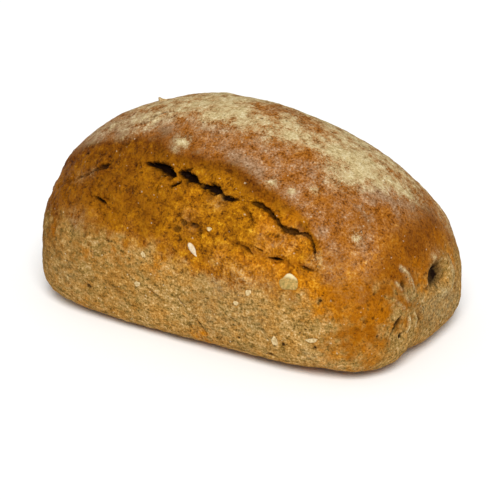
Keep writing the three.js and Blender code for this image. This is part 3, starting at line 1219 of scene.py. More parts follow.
        Patch(Mark.SEARED_AND_SHADE, (-37, -67, 42), 7, 0.3), Patch(Mark.SEARED_AND_SHADE, (-38, -67, 19), 6, 0.25),
        Patch(Mark.SEARED_AND_SHADE, (9, -68, 30), 6, 0.25), Patch(Mark.SEARED_AND_SHADE, (27, -46, 87), 4, 0.3),
    )

    # Painted last, because the torn dough is cleared of flour before.
    torn_patches: tuple[Patch, ...] = (
        # Paler, brighter dough in the right lobe of the burst.
        Patch(Mark.WARM, (47, -58, 70), 9, 0.7), Patch(Mark.WARM, (59, -54, 71), 9, 0.8),
        Patch(Mark.WARM, (70, -53, 70), 6, 0.5), Patch(Mark.WARM, (40, -46, 86), 5, 0.5),
        Patch(Mark.WARM, (3, -59, 71), 6, 0.4), Patch(Mark.WARM, (0, -54, 80), 6, 0.4),
        Patch(Mark.WARM, (44, -53, 78), 6, 0.6), Patch(Mark.WARM, (74, -55, 64), 4, 0.8),
        # Flour that fell on it.
        Patch(Mark.FLOUR, (47, -58, 70), 7, 0.08), Patch(Mark.FLOUR, (59, -54, 71), 6, 0.08),
        Patch(Mark.FLOUR, (-73, -61, 56), 7, 0.1), Patch(Mark.FLOUR, (22, -64, 55), 6, 0.09),
        Patch(Mark.FLOUR, (37, -66, 48), 7, 0.26), Patch(Mark.FLOUR, (51, -65, 50), 6, 0.11),
        Patch(Mark.FLOUR, (75, -55, 62), 4, 0.2), Patch(Mark.FLOUR, (75, -54, 65), 3, 0.2),
        Patch(Mark.FLOUR, (-80, -47, 73), 4, 0.11), Patch(Mark.FLOUR, (-72, -47, 78), 3, 0.11),
        Patch(Mark.FLOUR, (14, -53, 82), 4, 0.11), Patch(Mark.FLOUR, (0, -59, 71), 6, 0.06),
        # Shade in the bubble hole.
        Patch(Mark.PAINTED_SHADE, (114, 9.5, 41), 4.5, 0.3, 0.5),
    )
    # The thin film over the whole crown: how strong, how mottled and from what height. Then the flour
    # down the back.
    film: tuple[float, float] = (0.15, 0.32)
    film_height: tuple[float, float] = (62, 80)
    back_flour: float = 0.45
    back: tuple[float, float] = (20, 50)
    # How strongly flour and searing follow the crust's mottling.
    mottle: float = 0.6
    # The foot's edge, which browned on the tin.
    foot_brown: float = 0.75
    foot_edge: tuple[float, float] = (3.2, 0.6)
    # The right end, seared about its middle height and caramel brown under the crown.
    end_seared: float = 0.5
    end_seared_from: tuple[float, float] = (96, 108)
    end_seared_band: tuple[float, float] = (62, 16)
    end_brown: float = 0.3
    end_brown_from: tuple[float, float] = (70, 96)
    end_brown_height: tuple[float, float] = (84, 62)

    def _dust(self, crust: Crust) -> None:
        """Dusts the whole crown thinly, darkens the right end and colours the foot of the sides.

        Args:
            crust: the crust.
        """
        x, y, z = crust.rest.T
        crown = (1 - crust.marks[Mark.BURST]) * (1 - crust.marks[Mark.TIN])
        thin, mottle = self.film
        crust.mark(Mark.FILM, crown * (thin + mottle * crust.mottle) * eased(*self.film_height, z))
        crust.mark(Mark.FLOUR, crown * self.back_flour * eased(*self.back, y) * crust.mottled(self.mottle))
        crust.mark(Mark.WARM, self.foot_brown * eased(*self.foot_edge, z) * crust.marks[Mark.TIN])
        middle, width = self.end_seared_band
        seared = self.end_seared * eased(*self.end_seared_from, x) * hump(z - middle, width)
        crust.mark(Mark.SEARED_AND_SHADE, seared * crust.mottled(self.mottle))
        brown = self.end_brown * crown * eased(*self.end_brown_from, x) * eased(*self.end_brown_height, z)
        crust.mark(Mark.WARM, brown)

    def paint(self, crust: Crust) -> None:
        """Lays everything on the crust. The torn dough takes no flour but its own.

        Args:
            crust: the crust.
        """
        self._dust(crust)
        for mark in (*self.strokes, *self.patches):
            mark.paint(crust)
        whole = 1 - crust.marks[Mark.BURST]
        crust.marks[Mark.FLOUR] *= whole
        crust.marks[Mark.FILM] *= whole
        for patch in self.torn_patches:
            patch.paint(crust)


# ------------------------------------------------------------------ the loaf


@dataclass(frozen=True)
class Lattice:
    """A box grid around the loaf, whose points are pushed out to the crust."""

    counts: tuple[int, int, int] = (160, 90, 82)

    def weave(self, form: DoughForm) -> tuple[np.ndarray, np.ndarray, np.ndarray]:
        """Makes the grid.

        Args:
            form: the plain form.

        Returns:
            Its points on the crust, its four-sided faces, and the side of the box each face is on.
        """
        half = form.size / 2
        spans = [np.arange(n + 1) for n in self.counts]
        stride = np.array([(self.counts[1] + 1) * (self.counts[2] + 1), self.counts[2] + 1, 1])
        faces, sides = [], []
        for axis in range(3):
            first, second = (axis + 1) % 3, (axis + 2) % 3
            u, v = (a.ravel() for a in np.meshgrid(spans[first][:-1], spans[second][:-1], indexing="ij"))
            for end in (0, 1):
                base = end * self.counts[axis] * stride[axis] + u * stride[first] + v * stride[second]
                ring = [base, base + stride[first], base + stride[first] + stride[second],
                        base + stride[second]]
                faces.append(np.stack(ring if end else ring[::-1], axis=1))
                sides.append(np.full(len(base), 2 * axis + end))
        used, faces = np.unique(np.concatenate(faces), return_inverse=True)
        cell = np.stack([used // stride[0], used % stride[0] // stride[1], used % stride[1]], axis=1)
        rays = (2 * cell / np.array(self.counts) - 1) * half
        return form.crust(rays), faces.reshape(-1, 4), np.concatenate(sides)


# For each side of the box grid: the two axes that it is laid out by, and its part of the map.
MAP_PARTS = (
    (1, 2, (0.01, 0.01), (0.29, 0.24)),
    (1, 2, (0.31, 0.01), (0.59, 0.24)),
    (0, 2, (0.01, 0.26), (0.49, 0.49)),
    (0, 2, (0.51, 0.26), (0.99, 0.49)),
    (0, 1, (0.61, 0.01), (0.99, 0.24)),
    (0, 1, (0.01, 0.51), (0.99, 0.99)),
)


@dataclass
class Loaf:
    """The whole loaf as one crust."""

    # How near to a tear or fold the grid is made finer, once and then once more.
    FINER = (3.8, 2.0)
    # Faces under this height are the base, and are joined where they turn by less than this many degrees.
    BASE_HEIGHT, BASE_TURN = 1e-4, 0.5

    form: DoughForm
    lattice: Lattice = Lattice()
    waves: Waves = field(default_factory=lambda: Waves(11))
    band: TornBand = TornBand()
    coating: Coating = Coating()
    skin: Skin = Skin()
    # The open tear: x, y, z, half width and depth. It gapes at the left and is a mere crack at the right.
    tears: tuple[Groove, ...] = (
        Groove(CrustLine((
            (-38, -45, 91.2, 0.2, 0.4), (-35, -45, 91.2, 1.1, 4), (-31, -45, 91, 2.2, 6),
            (-27, -45.5, 90.6, 2.9, 7), (-23, -46, 89.8, 3.2, 7.5), (-19, -47, 88.9, 3.0, 7),
            (-16.5, -47.5, 88.6, 1.6, 4), (-15, -48, 88.6, 0.3, 0.8),
        )), ragged=0.5, undercut=0.3),
        Groove(CrustLine((
            (-14.5, -46.5, 90.2, 0.4, 1.4), (-12, -46.5, 90.2, 1.9, 5), (-8.5, -47, 89.6, 2.8, 6.5),
            (-5, -48, 89, 2.7, 6), (-2.5, -48.5, 88.4, 1.5, 3.4), (0, -49, 88, 0.5, 1.6),
        )), ragged=0.5, undercut=0.3),
        Groove(CrustLine((
            (0, -49, 88, 0.5, 1.2), (3, -49, 87, 1.6, 2.6), (6, -49, 86.7, 2.8, 5),
            (9.5, -49.4, 86.5, 3.1, 6), (12, -49.4, 86.7, 2.5, 5), (14, -50, 86.4, 1.0, 2),
            (17, -51, 84.8, 1.5, 2.6),
            (21, -51, 84.6, 1.4, 2.6), (24, -50.5, 84.7, 0.6, 1.4), (26, -50, 84.7, 0.2, 0.4),
        )), ragged=0.6, shade=1.0, undercut=0.25),
        Groove(CrustLine((
            (31, -49, 84.6, 0.2, 0.5), (34, -49, 84.4, 1.3, 2.6), (38, -49, 84, 1.7, 3.6),
            (41, -49, 82.8, 1.3, 3.2), (45, -50, 81, 1.2, 3), (49, -51, 78.8, 1.0, 2.6),
            (52, -52, 76.6, 1.2, 3), (56, -52, 75.2, 1.9, 4), (60, -51, 74.9, 1.7, 3.6),
            (63, -50.5, 74.8, 0.9, 2.2), (66, -50, 74.7, 1.2, 2.4), (69, -50, 72.5, 0.8, 2),
            (72, -52, 68.9, 0.8, 2.2), (73.6, -53.6, 65.8, 0.5, 1.4), (74.6, -54.6, 62.5, 0.2, 0.3),
        )), ragged=0.5, shade=0.8, undercut=0.2),
    )
    # Short side tears and slits in the torn dough.
    slits: tuple[Groove, ...] = (
        Groove(CrustLine(((-63, -56, 69.6, 0.3, 1), (-59, -57, 69, 1.0, 2.6), (-53, -58, 67.6, 0.3, 1)))),
        Groove(CrustLine(((-42, -44, 91, 0.3, 0.6), (-39, -46, 88.4, 0.5, 1.4))), shade=0.7),
        Groove(CrustLine(((-24, -52, 83, 0.3, 0.8), (-24, -53, 81.4, 0.5, 1.4), (-21, -56, 76, 0.3, 0.6))),
               shade=0.7),
        Groove(CrustLine(((-17, -52, 83.6, 0.3, 1), (-14, -51, 85.2, 0.9, 3), (-11, -49, 87.2, 0.5, 1.4)))),
        Groove(CrustLine(((-21, -44, 93, 0.3, 0.6), (-20, -45, 91.4, 0.5, 2.5), (-19, -46, 90, 0.8, 4)))),
        Groove(CrustLine(((-13, -46, 91, 0.5, 2), (-10, -45, 92.6, 0.7, 2), (-7, -44, 93, 0.3, 0.6)))),
        Groove(CrustLine(((31, -51, 81, 0.3, 0.8), (34, -53, 79, 0.5, 1.4), (37, -55, 77, 0.3, 0.8))),
               shade=0.7),
        Groove(CrustLine(((33, -61, 65, 0.3, 0.8), (37, -61, 63.4, 0.9, 2), (41, -62, 61.8, 0.3, 0.8))),
               shade=0.55),
        Groove(CrustLine(((41, -60, 65.4, 0.4, 1), (45, -60, 64.2, 0.6, 1.6))), shade=0.6),
        Groove(CrustLine(((50, -61, 61.8, 0.3, 0.8), (54, -61, 62.2, 0.7, 2.6), (58, -60, 62, 0.3, 0.8)))),
        Groove(CrustLine(((67, -59, 60.6, 0.3, 0.8), (71, -58, 59.6, 1.1, 2.8), (74, -57, 58.6, 0.4, 1))),
               shade=0.6),
        Groove(CrustLine(((57, -56, 69.7, 0.5, 0.6), (64, -55, 68.8, 0.6, 0.9))), shade=0.3),
        Groove(CrustLine(((44, -57, 71.4, 0.6, 0.8), (48, -57, 70, 0.6, 0.8))), shade=0.3),
        # The old fold in the dough at the left of the burst.
        Groove(CrustLine(((-84, -47, 71, 0.4, 0.4), (-75, -47, 77, 0.9, 1.0), (-69, -46, 80.8, 1.3, 1.4),
                          (-64, -45, 83.4, 2.0, 2.6), (-60, -45, 85.2, 0.7, 0.8))), shade=0.9),
    )
    # The edge of an old flap on the left of the crown, and grooves in the end crust.
    creases: tuple[Groove, ...] = (
        Groove(CrustLine(((-58, -26, 100, 0.4, 0.3), (-49, -24, 104, 0.8, 1.4), (-45, -19, 107, 1.0, 2.2),
                          (-40, -17, 109.2, 0.9, 1.8), (-33, -16, 110, 0.4, 0.4))), ragged=0.15, shade=0.45,
               brim=0.5),
        Groove(CrustLine(((110, -9, 55, 0.8, 0.4), (111, -12, 50, 1.6, 1.2), (113, -12, 43, 0.8, 0.4))),
               ragged=0.1, shade=0.15),
        Groove(CrustLine(((113, -31, 33.4, 0.4, 0.8), (112, -33, 31.4, 1.2, 2.6), (112, -36, 29.2, 1.5, 3.2),
                          (111, -38, 27.2, 1.0, 2.2), (111, -40, 23.9, 0.5, 1.0), (110, -42, 21, 0.4, 0.6))),
               ragged=0.3, shade=0.7),
    )
    # Fine slanting creases in the tin-baked side, with painted shade in them.
    side_creases: tuple[Groove, ...] = (
        Groove(CrustLine(((-22, -68, 31, 0.3, 0.2), (-17, -68, 28.5, 0.7, 0.8), (-12, -68, 25, 0.4, 0.3))),
               shade=1.2),
        Groove(CrustLine(((-3, -68, 31, 0.3, 0.2), (0, -68, 28, 0.6, 0.9), (4, -68, 23.5, 0.3, 0.3))),
               shade=1.3),
        Groove(CrustLine(((8, -68, 20.5, 0.3, 0.2), (13, -68, 16.5, 0.6, 0.9), (17, -67, 10.5, 0.4, 0.6))),
               shade=1.2),
        Groove(CrustLine(((-45, -68, 27, 0.3, 0.2), (-41, -68, 23, 0.5, 0.6))), shade=1.2),
    )
    # Raised edges of the folds in the end crust, with pale crests that are partly painted highlight.
    folds: tuple[Ridge, ...] = (
        Ridge(CrustLine(((108, -24, 56, 1.2, 0.2), (109, -22, 53, 1.6, 1.0), (111, -21, 49, 1.7, 1.4),
                         (112, -20, 45.5, 1.6, 1.3), (113, -19, 42, 1.2, 0.3))), pale=0.4),
        Ridge(CrustLine(((113, 22, 43, 2.5, 0.5), (114, 22, 36, 3, 1.6), (115, 16, 30, 3, 1.8),
                         (115, 7, 31, 2.5, 0.8))), pale=0.4),
        Ridge(CrustLine(((114, -25.4, 30, 0.7, 0.3), (114, -26, 27.4, 1.0, 1.3), (114, -27, 24.9, 1.0, 1.3),
                         (114, -27.8, 22.4, 0.7, 0.3))), pale=0.7),
        Ridge(CrustLine((
            (114, -21, 30.5, 0.7, 0.3), (114, -20.4, 28.5, 0.9, 1.3), (115, -19.6, 25.4, 0.9, 1.3),
            (115, -19.5, 22, 0.6, 0.3),
        )), pale=0.7),
        Ridge(CrustLine(((110, -35, 43, 1.0, 0.3), (111, -32, 39, 1.0, 0.8), (112, -29, 36, 1.0, 0.3))),
              pale=0.25),
        Ridge(CrustLine(((109, -31, 50, 1.0, 0.3), (111, -27, 44, 1.2, 1.0), (112, -25, 39, 1.0, 0.3))),
              pale=0.3),
    )
    # Each gives centre, radii, depth and sharpness, then the shade painted in it and the height of its rim.
    hollows: tuple[Hollow, ...] = (
        # The bubble hole: a shallow bowl with a deep core and a notch.
        Hollow((113.7, 5, 41.2), (6, 9.0, 6.8), 2.3, 3.8, 0.45, 1.3),
        Hollow((113.5, 3.4, 42), (5, 6.2, 5.4), 1.3, 2.8, 0.42),
        Hollow((112.4, 8.5, 46.5), (4, 3.6, 2.0), 0.8, 3.0, 0.4),
        # Pits in the folds under it.
        Hollow((110.4, -26, 47.4), (3, 1.8, 2.4), 2.2, 2.0, 0.6),
        Hollow((108, -24, 54.5), (3, 1.4, 1.2), 1.2, 2.0, 0.3),
        Hollow((115, -16.6, 25), (3, 2.6, 1.7), 1.8, 2.2, 0.6),
        Hollow((114, -8, 39.4), (3, 2.6, 1.4), 1.0, 2.0, 0.4),
        Hollow((113, -32.7, 21.5), (1.8, 1.4, 1.4), 2.6, 2.4, 1.0),
        # Dents that the tin and the cooling left.
        Hollow((111, -18, 6), (11, 10, 9), 2.6),
        Hollow((82, -58, 4), (15, 9, 9), 1.6),
        Hollow((-105, -49, 31), (9, 9, 9), 0.8),
        Hollow((-54, 12.5, 107.5), (11, 13, 10), 1.7),
        Hollow((-72, 8, 101), (8, 12, 8), 0.8),
        Hollow((30, 28, 104), (36, 14, 12), 0.8),
        # Swellings.
        Hollow((-26, 18, 112), (8, 12, 8), -0.6),
        Hollow((-108, -22, 56), (9, 14, 9), -0.6),
        Hollow((-30, -61, 4), (36, 8, 6), -0.8),
        Hollow((98, 44, 56), (10, 10, 10), -0.7),
        # Pits in the torn dough.
        Hollow((-6, -61, 65), (3.2, 2, 2.0), 1.6, 2.0, 0.6),
        Hollow((-3, -60, 69), (2.2, 2, 1.4), 1.4, 2.0, 0.6),
        Hollow((3, -60, 69), (3.4, 2, 1.4), 1.8, 2.0, 0.6),
        Hollow((8, -61, 66.5), (1.6, 2, 1.6), 1.2, 2.0, 0.6),
        # Pits on the tin side, darkened with painted shade.
        Hollow((-60, -67, 21), (1.7, 1.7, 1.1), 1.4, 2.4, 0.8),
        Hollow((63, -67, 18), (1.1, 1.1, 1.2), 1.2, 2.4, 0.9),
        Hollow((55, -66, 9), (2.0, 1.6, 1.3), 1.3, 2.4, 0.7),
        Hollow((36, -67, 15), (0.9, 0.9, 0.9), 0.9, 2.4, 0.8),
        Hollow((81, -65, 20), (0.8, 0.8, 0.8), 0.9, 2.4, 0.7),
        Hollow((80, -60, 45), (0.9, 0.9, 0.9), 0.9, 2.4, 0.9),
        # Pits in the caramel crust of the corner, darkened brown with painted shade.
        Hollow((103, -44, 47.5), (1.0, 1.0, 0.8), 0.8, 2.4, 0.6),
        Hollow((99, -52, 42), (2.0, 1.4, 0.9), 0.8, 2.2, 0.45),
        Hollow((93, -56, 42.6), (1.8, 1.2, 0.8), 0.6, 2.2, 0.35),
        Hollow((87, -58.5, 45.6), (1.2, 1.0, 0.7), 0.7, 2.4, 0.5),
        Hollow((80.4, -64.6, 19.5), (1.1, 1.0, 0.9), 0.8, 2.4, 0.5),
        Hollow((105, -48, 36), (1.0, 1.0, 0.8), 0.8, 2.4, 0.7),
        Hollow((102.5, -51.5, 34.8), (1.6, 1.4, 1.1), 0.9, 2.2, 0.45),
        Hollow((107, -47, 26), (0.9, 0.9, 0.8), 0.8, 2.4, 0.7),
        Hollow((107, -42.5, 39.4), (0.8, 0.8, 1.3), 0.8, 2.4, 0.6),
    )

    def __post_init__(self) -> None:
        """Weaves the grid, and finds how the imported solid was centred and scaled."""
        self.points, self.faces, self.sides = self.lattice.weave(self.form)
        low, high = self.points.min(0), self.points.max(0)
        self.middle = np.array([(low[0] + high[0]) / 2, (low[1] + high[1]) / 2, 0])
        self.stretch = self.form.size / np.array([high[0] - low[0], high[1] - low[1], high[2]])

    def sculpt(self, rest: np.ndarray) -> Crust:
        """Works out the whole relief and every mark for points on the plain form.

        Args:
            rest: the points.

        Returns:
            The crust, moved and marked.
        """
        crust = Crust.on(self.form, rest, self.waves)
        self.band.press(crust, self.waves)
        self.coating.paint(crust)
        self.skin.press(crust, self.waves)
        for piece in (*self.folds, *self.hollows, *self.slits, *self.creases, *self.side_creases,
                      *self.tears):
            piece.press(crust, self.waves)
        return crust

    def seated(self, points: np.ndarray) -> np.ndarray:
        """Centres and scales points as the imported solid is, and keeps them above the floor.

        Args:
            points: the points.

        Returns:
            The points where they stand.
        """
        moved = (points - self.middle) * self.stretch
        moved[:, 2] = np.maximum(moved[:, 2], 0)
        return moved

    def landed(self, points: np.ndarray) -> tuple[np.ndarray, np.ndarray]:
        """Where points land on the finished crust, and which way is out there.

        Args:
            points: points near the crust.

        Returns:
            Their places, and the outward directions.
        """
        rest = self.form.onto(points)
        crust = self.sculpt(rest)
        return self.seated(rest + crust.move), crust.out

    def _busy(self, rest: np.ndarray, reach: float) -> np.ndarray:
        """Which points lie within `reach` of a tear, slit, fold or small hollow.

        Args:
            rest: points on the plain form.
            reach: how near is near.

        Returns:
            True for each point that does.
        """
        crust = Crust.on(self.form, rest, self.waves)
        near = np.zeros(len(rest), bool)
        for piece in (*self.tears, *self.slits, *self.creases, *self.side_creases, *self.folds):
            near |= np.abs(piece.line.measure(crust, reach=reach)[0]) < reach
        for hollow in self.hollows:
            if hollow.shade:
                centre = self.form.onto(np.array([hollow.centre]))[0]
                near |= np.linalg.norm(rest - centre, axis=1) < reach + max(hollow.radii[1:])
        return near

    def build(self, finish: bpy.types.Material) -> bpy.types.Object:
        """Builds the crust mesh.

        Args:
            finish: the crust's material.

        Returns:
            The loaf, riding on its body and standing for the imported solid.
        """
        mesh = bpy.data.meshes.new("loaf_crust")
        mesh.from_pydata(self.points.tolist(), [], self.faces.tolist())
        side_layer = mesh.attributes.new("box_side", "INT", "FACE")
        side_layer.data.foreach_set("value", self.sides.astype(np.int32))
        shape = bmesh.new()
        shape.from_mesh(mesh)
        self._coarsen_base(shape)
        self._refine(shape)
        shape.to_mesh(mesh)
        shape.free()

        rest = self.form.onto(read_points(mesh))
        self._unwrap(mesh, rest)
        crust = self.sculpt(rest)
        final = self.seated(rest + crust.move)
        mesh.vertices.foreach_set("co", (final * MM).astype(np.float32).ravel())
        for mark, amount in crust.marks.items():
            keep_values(mesh, mark.value, amount)
        mesh.attributes.remove(mesh.attributes["box_side"])
        mesh.shade_smooth()
        mesh.update()
        loaf = placed("loaf_crust", mesh, finish)
        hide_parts(CAD_NODE)
        return loaf

    def _coarsen_base(self, shape: bmesh.types.BMesh) -> None:
        """Joins the flat faces under the loaf, which need no relief.

        Args:
            shape: the mesh being made.
        """
        flat = {f for f in shape.faces if all(v.co.z < self.BASE_HEIGHT for v in f.verts)}
        inner = [e for e in shape.edges if e.link_faces and all(f in flat for f in e.link_faces)]
        points = list({v: None for e in inner for v in e.verts})
        bmesh.ops.dissolve_limit(shape, angle_limit=math.radians(self.BASE_TURN), verts=points, edges=inner,
                                 use_dissolve_boundaries=False)
        bmesh.ops.triangulate(shape, faces=[f for f in shape.faces if len(f.verts) > 4])

    def _refine(self, shape: bmesh.types.BMesh) -> None:
        """Divides the faces where the crust tore or folded, twice where it is busiest.

        Args:
            shape: the mesh being made.
        """
        for reach in self.FINER:
            shape.verts.index_update()
            near = self._busy(np.array([v.co for v in shape.verts]), reach)
            edges = {e: None for f in shape.faces if any(near[v.index] for v in f.verts) for e in f.edges}
            bmesh.ops.subdivide_edges(shape, edges=list(edges), cuts=1, use_grid_fill=True)
            bmesh.ops.triangulate(shape, faces=[f for f in shape.faces if len(f.verts) > 4])

    def _unwrap(self, mesh: bpy.types.Mesh, rest: np.ndarray) -> None:
        """Lays the six sides of the box grid out flat, each in its own part of the map.

        Args:
            mesh: the crust mesh.
            rest: its points on the plain form.
        """
        cube = (rest - self.form.heart) / (self.form.size / 2)
        cube = cube / np.abs(cube).max(axis=1, keepdims=True)
        loops = np.empty(len(mesh.loops), np.int32)
        mesh.loops.foreach_get("vertex_index", loops)
        totals = np.empty(len(mesh.polygons), np.int32)
        mesh.polygons.foreach_get("loop_total", totals)
        side = np.empty(len(mesh.polygons), np.int32)
        mesh.attributes["box_side"].data.foreach_get("value", side)
        side = np.repeat(side, totals)
        at = cube[loops]
        flat = np.zeros((len(loops), 2), np.float32)
        for number, (first, second, low, high) in enumerate(MAP_PARTS):
            own = side == number
            share = (at[own][:, [first, second]] + 1) / 2
            flat[own] = np.array(low) + share * (np.array(high) - np.array(low))
        layer = mesh.uv_layers.new(name="OFBake")
        layer.data.foreach_set("uv", flat.ravel())


def read_points(mesh: bpy.types.Mesh) -> np.ndarray:
    """The mesh's points as an array.

    Args:
        mesh: the mesh.

    Returns:
        One row for each point.
    """
    found = np.empty(len(mesh.vertices) * 3, np.float32)
    mesh.vertices.foreach_get("co", found)
    return found.reshape(-1, 3).astype(float)


def keep_values(mesh: bpy.types.Mesh, name: str, values: np.ndarray) -> None:
    """Keeps a number for each of the mesh's points, for its material to read by name."""
    layer = mesh.attributes.new(name, "FLOAT", "POINT")
    layer.data.foreach_set("value", values.astype(np.float32))


def placed(name: str, mesh: bpy.types.Mesh, finish: bpy.types.Material) -> bpy.types.Object:
    """Puts a mesh in the scene as a piece of the loaf.

    Args:
        name: the piece's name.
        mesh: its mesh, in the loaf's frame.
        finish: its material.

    Returns:
        The piece, riding on the loaf's body.
    """
    mesh.materials.append(finish)
    piece = bpy.data.objects.new(name, mesh)
    bpy.context.scene.collection.objects.link(piece)
    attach(piece, BODY)
    return piece


# ------------------------------------------------------------------ grains on the crust


@dataclass(frozen=True)
class Kernel:
    """A hulled sunflower kernel baked into the crust: a flattened drop with one sharp end."""

    name: str
    broad: tuple[float, float, float]
    tip: tuple[float, float, float]
    width: float = 3.3
    thick: float = 1.9
    proud: float = 0.45
    # The share of its thickness that the crust took in, how far along it is broadest, and how it tapers.
    sunk: float = 0.3
    belly: float = 0.36
    taper: float = 1.7
    rings: int = 22
    around: int = 18

    def build(self, loaf: Loaf, finish: bpy.types.Material) -> bpy.types.Object:
        """Builds the kernel lying on the loaf's crust.

        Args:
            loaf: the loaf it lies on.
            finish: its material.

        Returns:
            The piece.
        """
        ends, out = loaf.landed(np.array([self.broad, self.tip]))
        up = out.mean(axis=0)
        up /= np.linalg.norm(up)
        along = ends[1] - ends[0]
        across = np.cross(up, along)
        across /= np.linalg.norm(across)
        t = np.linspace(0, 1, self.rings)
        blunt = np.sqrt(np.clip(1 - (1 - t / self.belly) ** 2, 0, 1))
        past = np.clip((t - self.belly) / (1 - self.belly), 0, 1)
        swell = np.where(t < self.belly, blunt, 1 - past ** self.taper)
        core = ends[0] + t[:, None] * along + up * (self.proud - self.thick * self.sunk)
        points = []
        for middle, share in zip(core, swell):
            for a in turned(self.around):
                side, rise = self.width / 2 * math.cos(a), self.thick / 2 * math.sin(a)
                points.append(middle + share * (across * side + up * rise))
        return placed(self.name, ringed(self.name, points, self.rings, self.around), finish)


@dataclass(frozen=True)
class Flake:
    """A rolled oat or wheat flake pressed into the crust: a thin, slightly curled disc."""

    name: str
    centre: tuple[float, float, float]
    length: float
    width: float
    lean: float
    thick: float = 0.7
    curl: float = 0.35
    paler_top: float = 0.0
    # How far its edge wavers three and five times round, as a share of its size.
    waver: tuple[float, float] = (0.09, 0.06)
    # How late its faces round over to the edge, how high the upper one stands and how deep the lower one
    # sits, as shares of its thickness.
    flatness: int = 6
    dome: float = 0.8
    keel: float = 1.02
    # Where its raised edge starts to turn paler, and where it is fully so.
    bare: tuple[float, float] = (0.35, 0.8)
    rings: int = 7
    around: int = 26

    def build(self, loaf: Loaf, finish: bpy.types.Material) -> bpy.types.Object:
        """Builds the flake following the loaf's crust.

        Args:
            loaf: the loaf it lies on.
            finish: its material.

        Returns:
            The piece.
        """
        middle = loaf.form.onto(np.array([self.centre]))
        up = loaf.form.outward(middle)[0]
        side = np.cross((0, 0, 1.0), up)
        side /= np.linalg.norm(side)
        rise = np.cross(up, side)
        turn = turned(self.around)
        lean = math.radians(self.lean)
        edge = 1 + self.waver[0] * np.sin(3 * turn + self.lean) + self.waver[1] * np.sin(5 * turn)
        shares = np.arange(1, self.rings + 1) / self.rings
        disc = []
        for share in shares:
            u = share * edge * self.length / 2 * np.cos(turn)
            v = share * edge * self.width / 2 * np.sin(turn)
            disc.append(middle + np.outer(u * math.cos(lean) - v * math.sin(lean), side)
                        + np.outer(u * math.sin(lean) + v * math.cos(lean), rise))
        under, out = loaf.landed(np.concatenate(disc))
        share = np.repeat(shares, self.around)
        rounded = share ** self.flatness
        lift = self.thick * np.sqrt(np.clip(1.0 - rounded, 0, 1)) * self.dome + self.curl * share ** 2
        top = under + out * lift[:, None]
        low = under - out * (self.thick * (self.keel - rounded))[:, None]
        rows = np.concatenate([top.reshape(self.rings, self.around, 3),
                               low.reshape(self.rings, self.around, 3)[::-1]])
        mesh = ringed(self.name, rows.reshape(-1, 3), 2 * self.rings, self.around)
        height = read_points(mesh)[:, 2]
        above = (height - height.mean()) / (height.max() - height.mean())
        keep_values(mesh, RAISED_RIM, self.paler_top * eased(*self.bare, above))
        return placed(self.name, mesh, finish)


@dataclass(frozen=True)
class Thorn:
    """A dried shred of dough that stands up from the crown's edge."""

    name: str = "crust_thorn"
    foot: tuple[float, float, float] = (-60, 4, 106)
    height: float = 2.6
    tail: tuple[float, float, float] = (7.0, 1.0, 0)
    # Along its tail: how far, and how much of its height it has there.
    profile: tuple[tuple[float, float], ...] = ((0, 0.9), (0.12, 1.0), (0.3, 0.6), (0.6, 0.3), (1.0, 0.05))
    half_width: float = 0.8
    root: float = 1.0
    flour: float = 0.6
    around: int = 10

    def build(self, loaf: Loaf, finish: bpy.types.Material) -> bpy.types.Object:
        """Builds the shred with its tail lying on the crown.

        Args:
            loaf: the loaf it lies on.
            finish: its material.

        Returns:
            The piece.
        """
        along, rises = np.array(self.profile).T
        spots, out = loaf.landed(np.array(self.foot) + np.outer(along, self.tail))
        points = []
        for spot, up, rise in zip(spots, out, rises * self.height):
            across = np.cross((1.0, 0, 0), up)
            for a in turned(self.around):
                lift = rise if math.sin(a) > 0 else self.root
                points.append(spot + across * (self.half_width * math.cos(a)) + up * (lift * math.sin(a)))
        mesh = ringed(self.name, points, len(spots), self.around)
        keep_values(mesh, Mark.FLOUR.value, np.full(len(mesh.vertices), self.flour))
        return placed(self.name, mesh, finish)


def ringed(name: str, points: list | np.ndarray, rings: int, around: int) -> bpy.types.Mesh:
    """A closed smooth mesh over rings of points, capped at both ends.

    Args:
        name: the mesh's name.
        points: the points, ring after ring, in millimetres.
        rings: how many rings.
        around: how many points in each.

    Returns:
        The mesh, in metres.
    """
    faces = [tuple(range(around))[::-1], tuple(range((rings - 1) * around, rings * around))]
    for ring in range(rings - 1):
        for i in range(around):
            j = (i + 1) % around
            faces.append((ring * around + i, ring * around + j, (ring + 1) * around + j,
                          (ring + 1) * around + i))
    mesh = bpy.data.meshes.new(name)
    mesh.from_pydata([tuple(p * MM) for p in np.asarray(points)], [], faces)
    shape = bmesh.new()
    shape.from_mesh(mesh)
    bmesh.ops.remove_doubles(shape, verts=shape.verts[:], dist=MERGE)
    bmesh.ops.recalc_face_normals(shape, faces=shape.faces[:])
    shape.to_mesh(mesh)
    shape.free()
    mesh.shade_smooth()
    return mesh


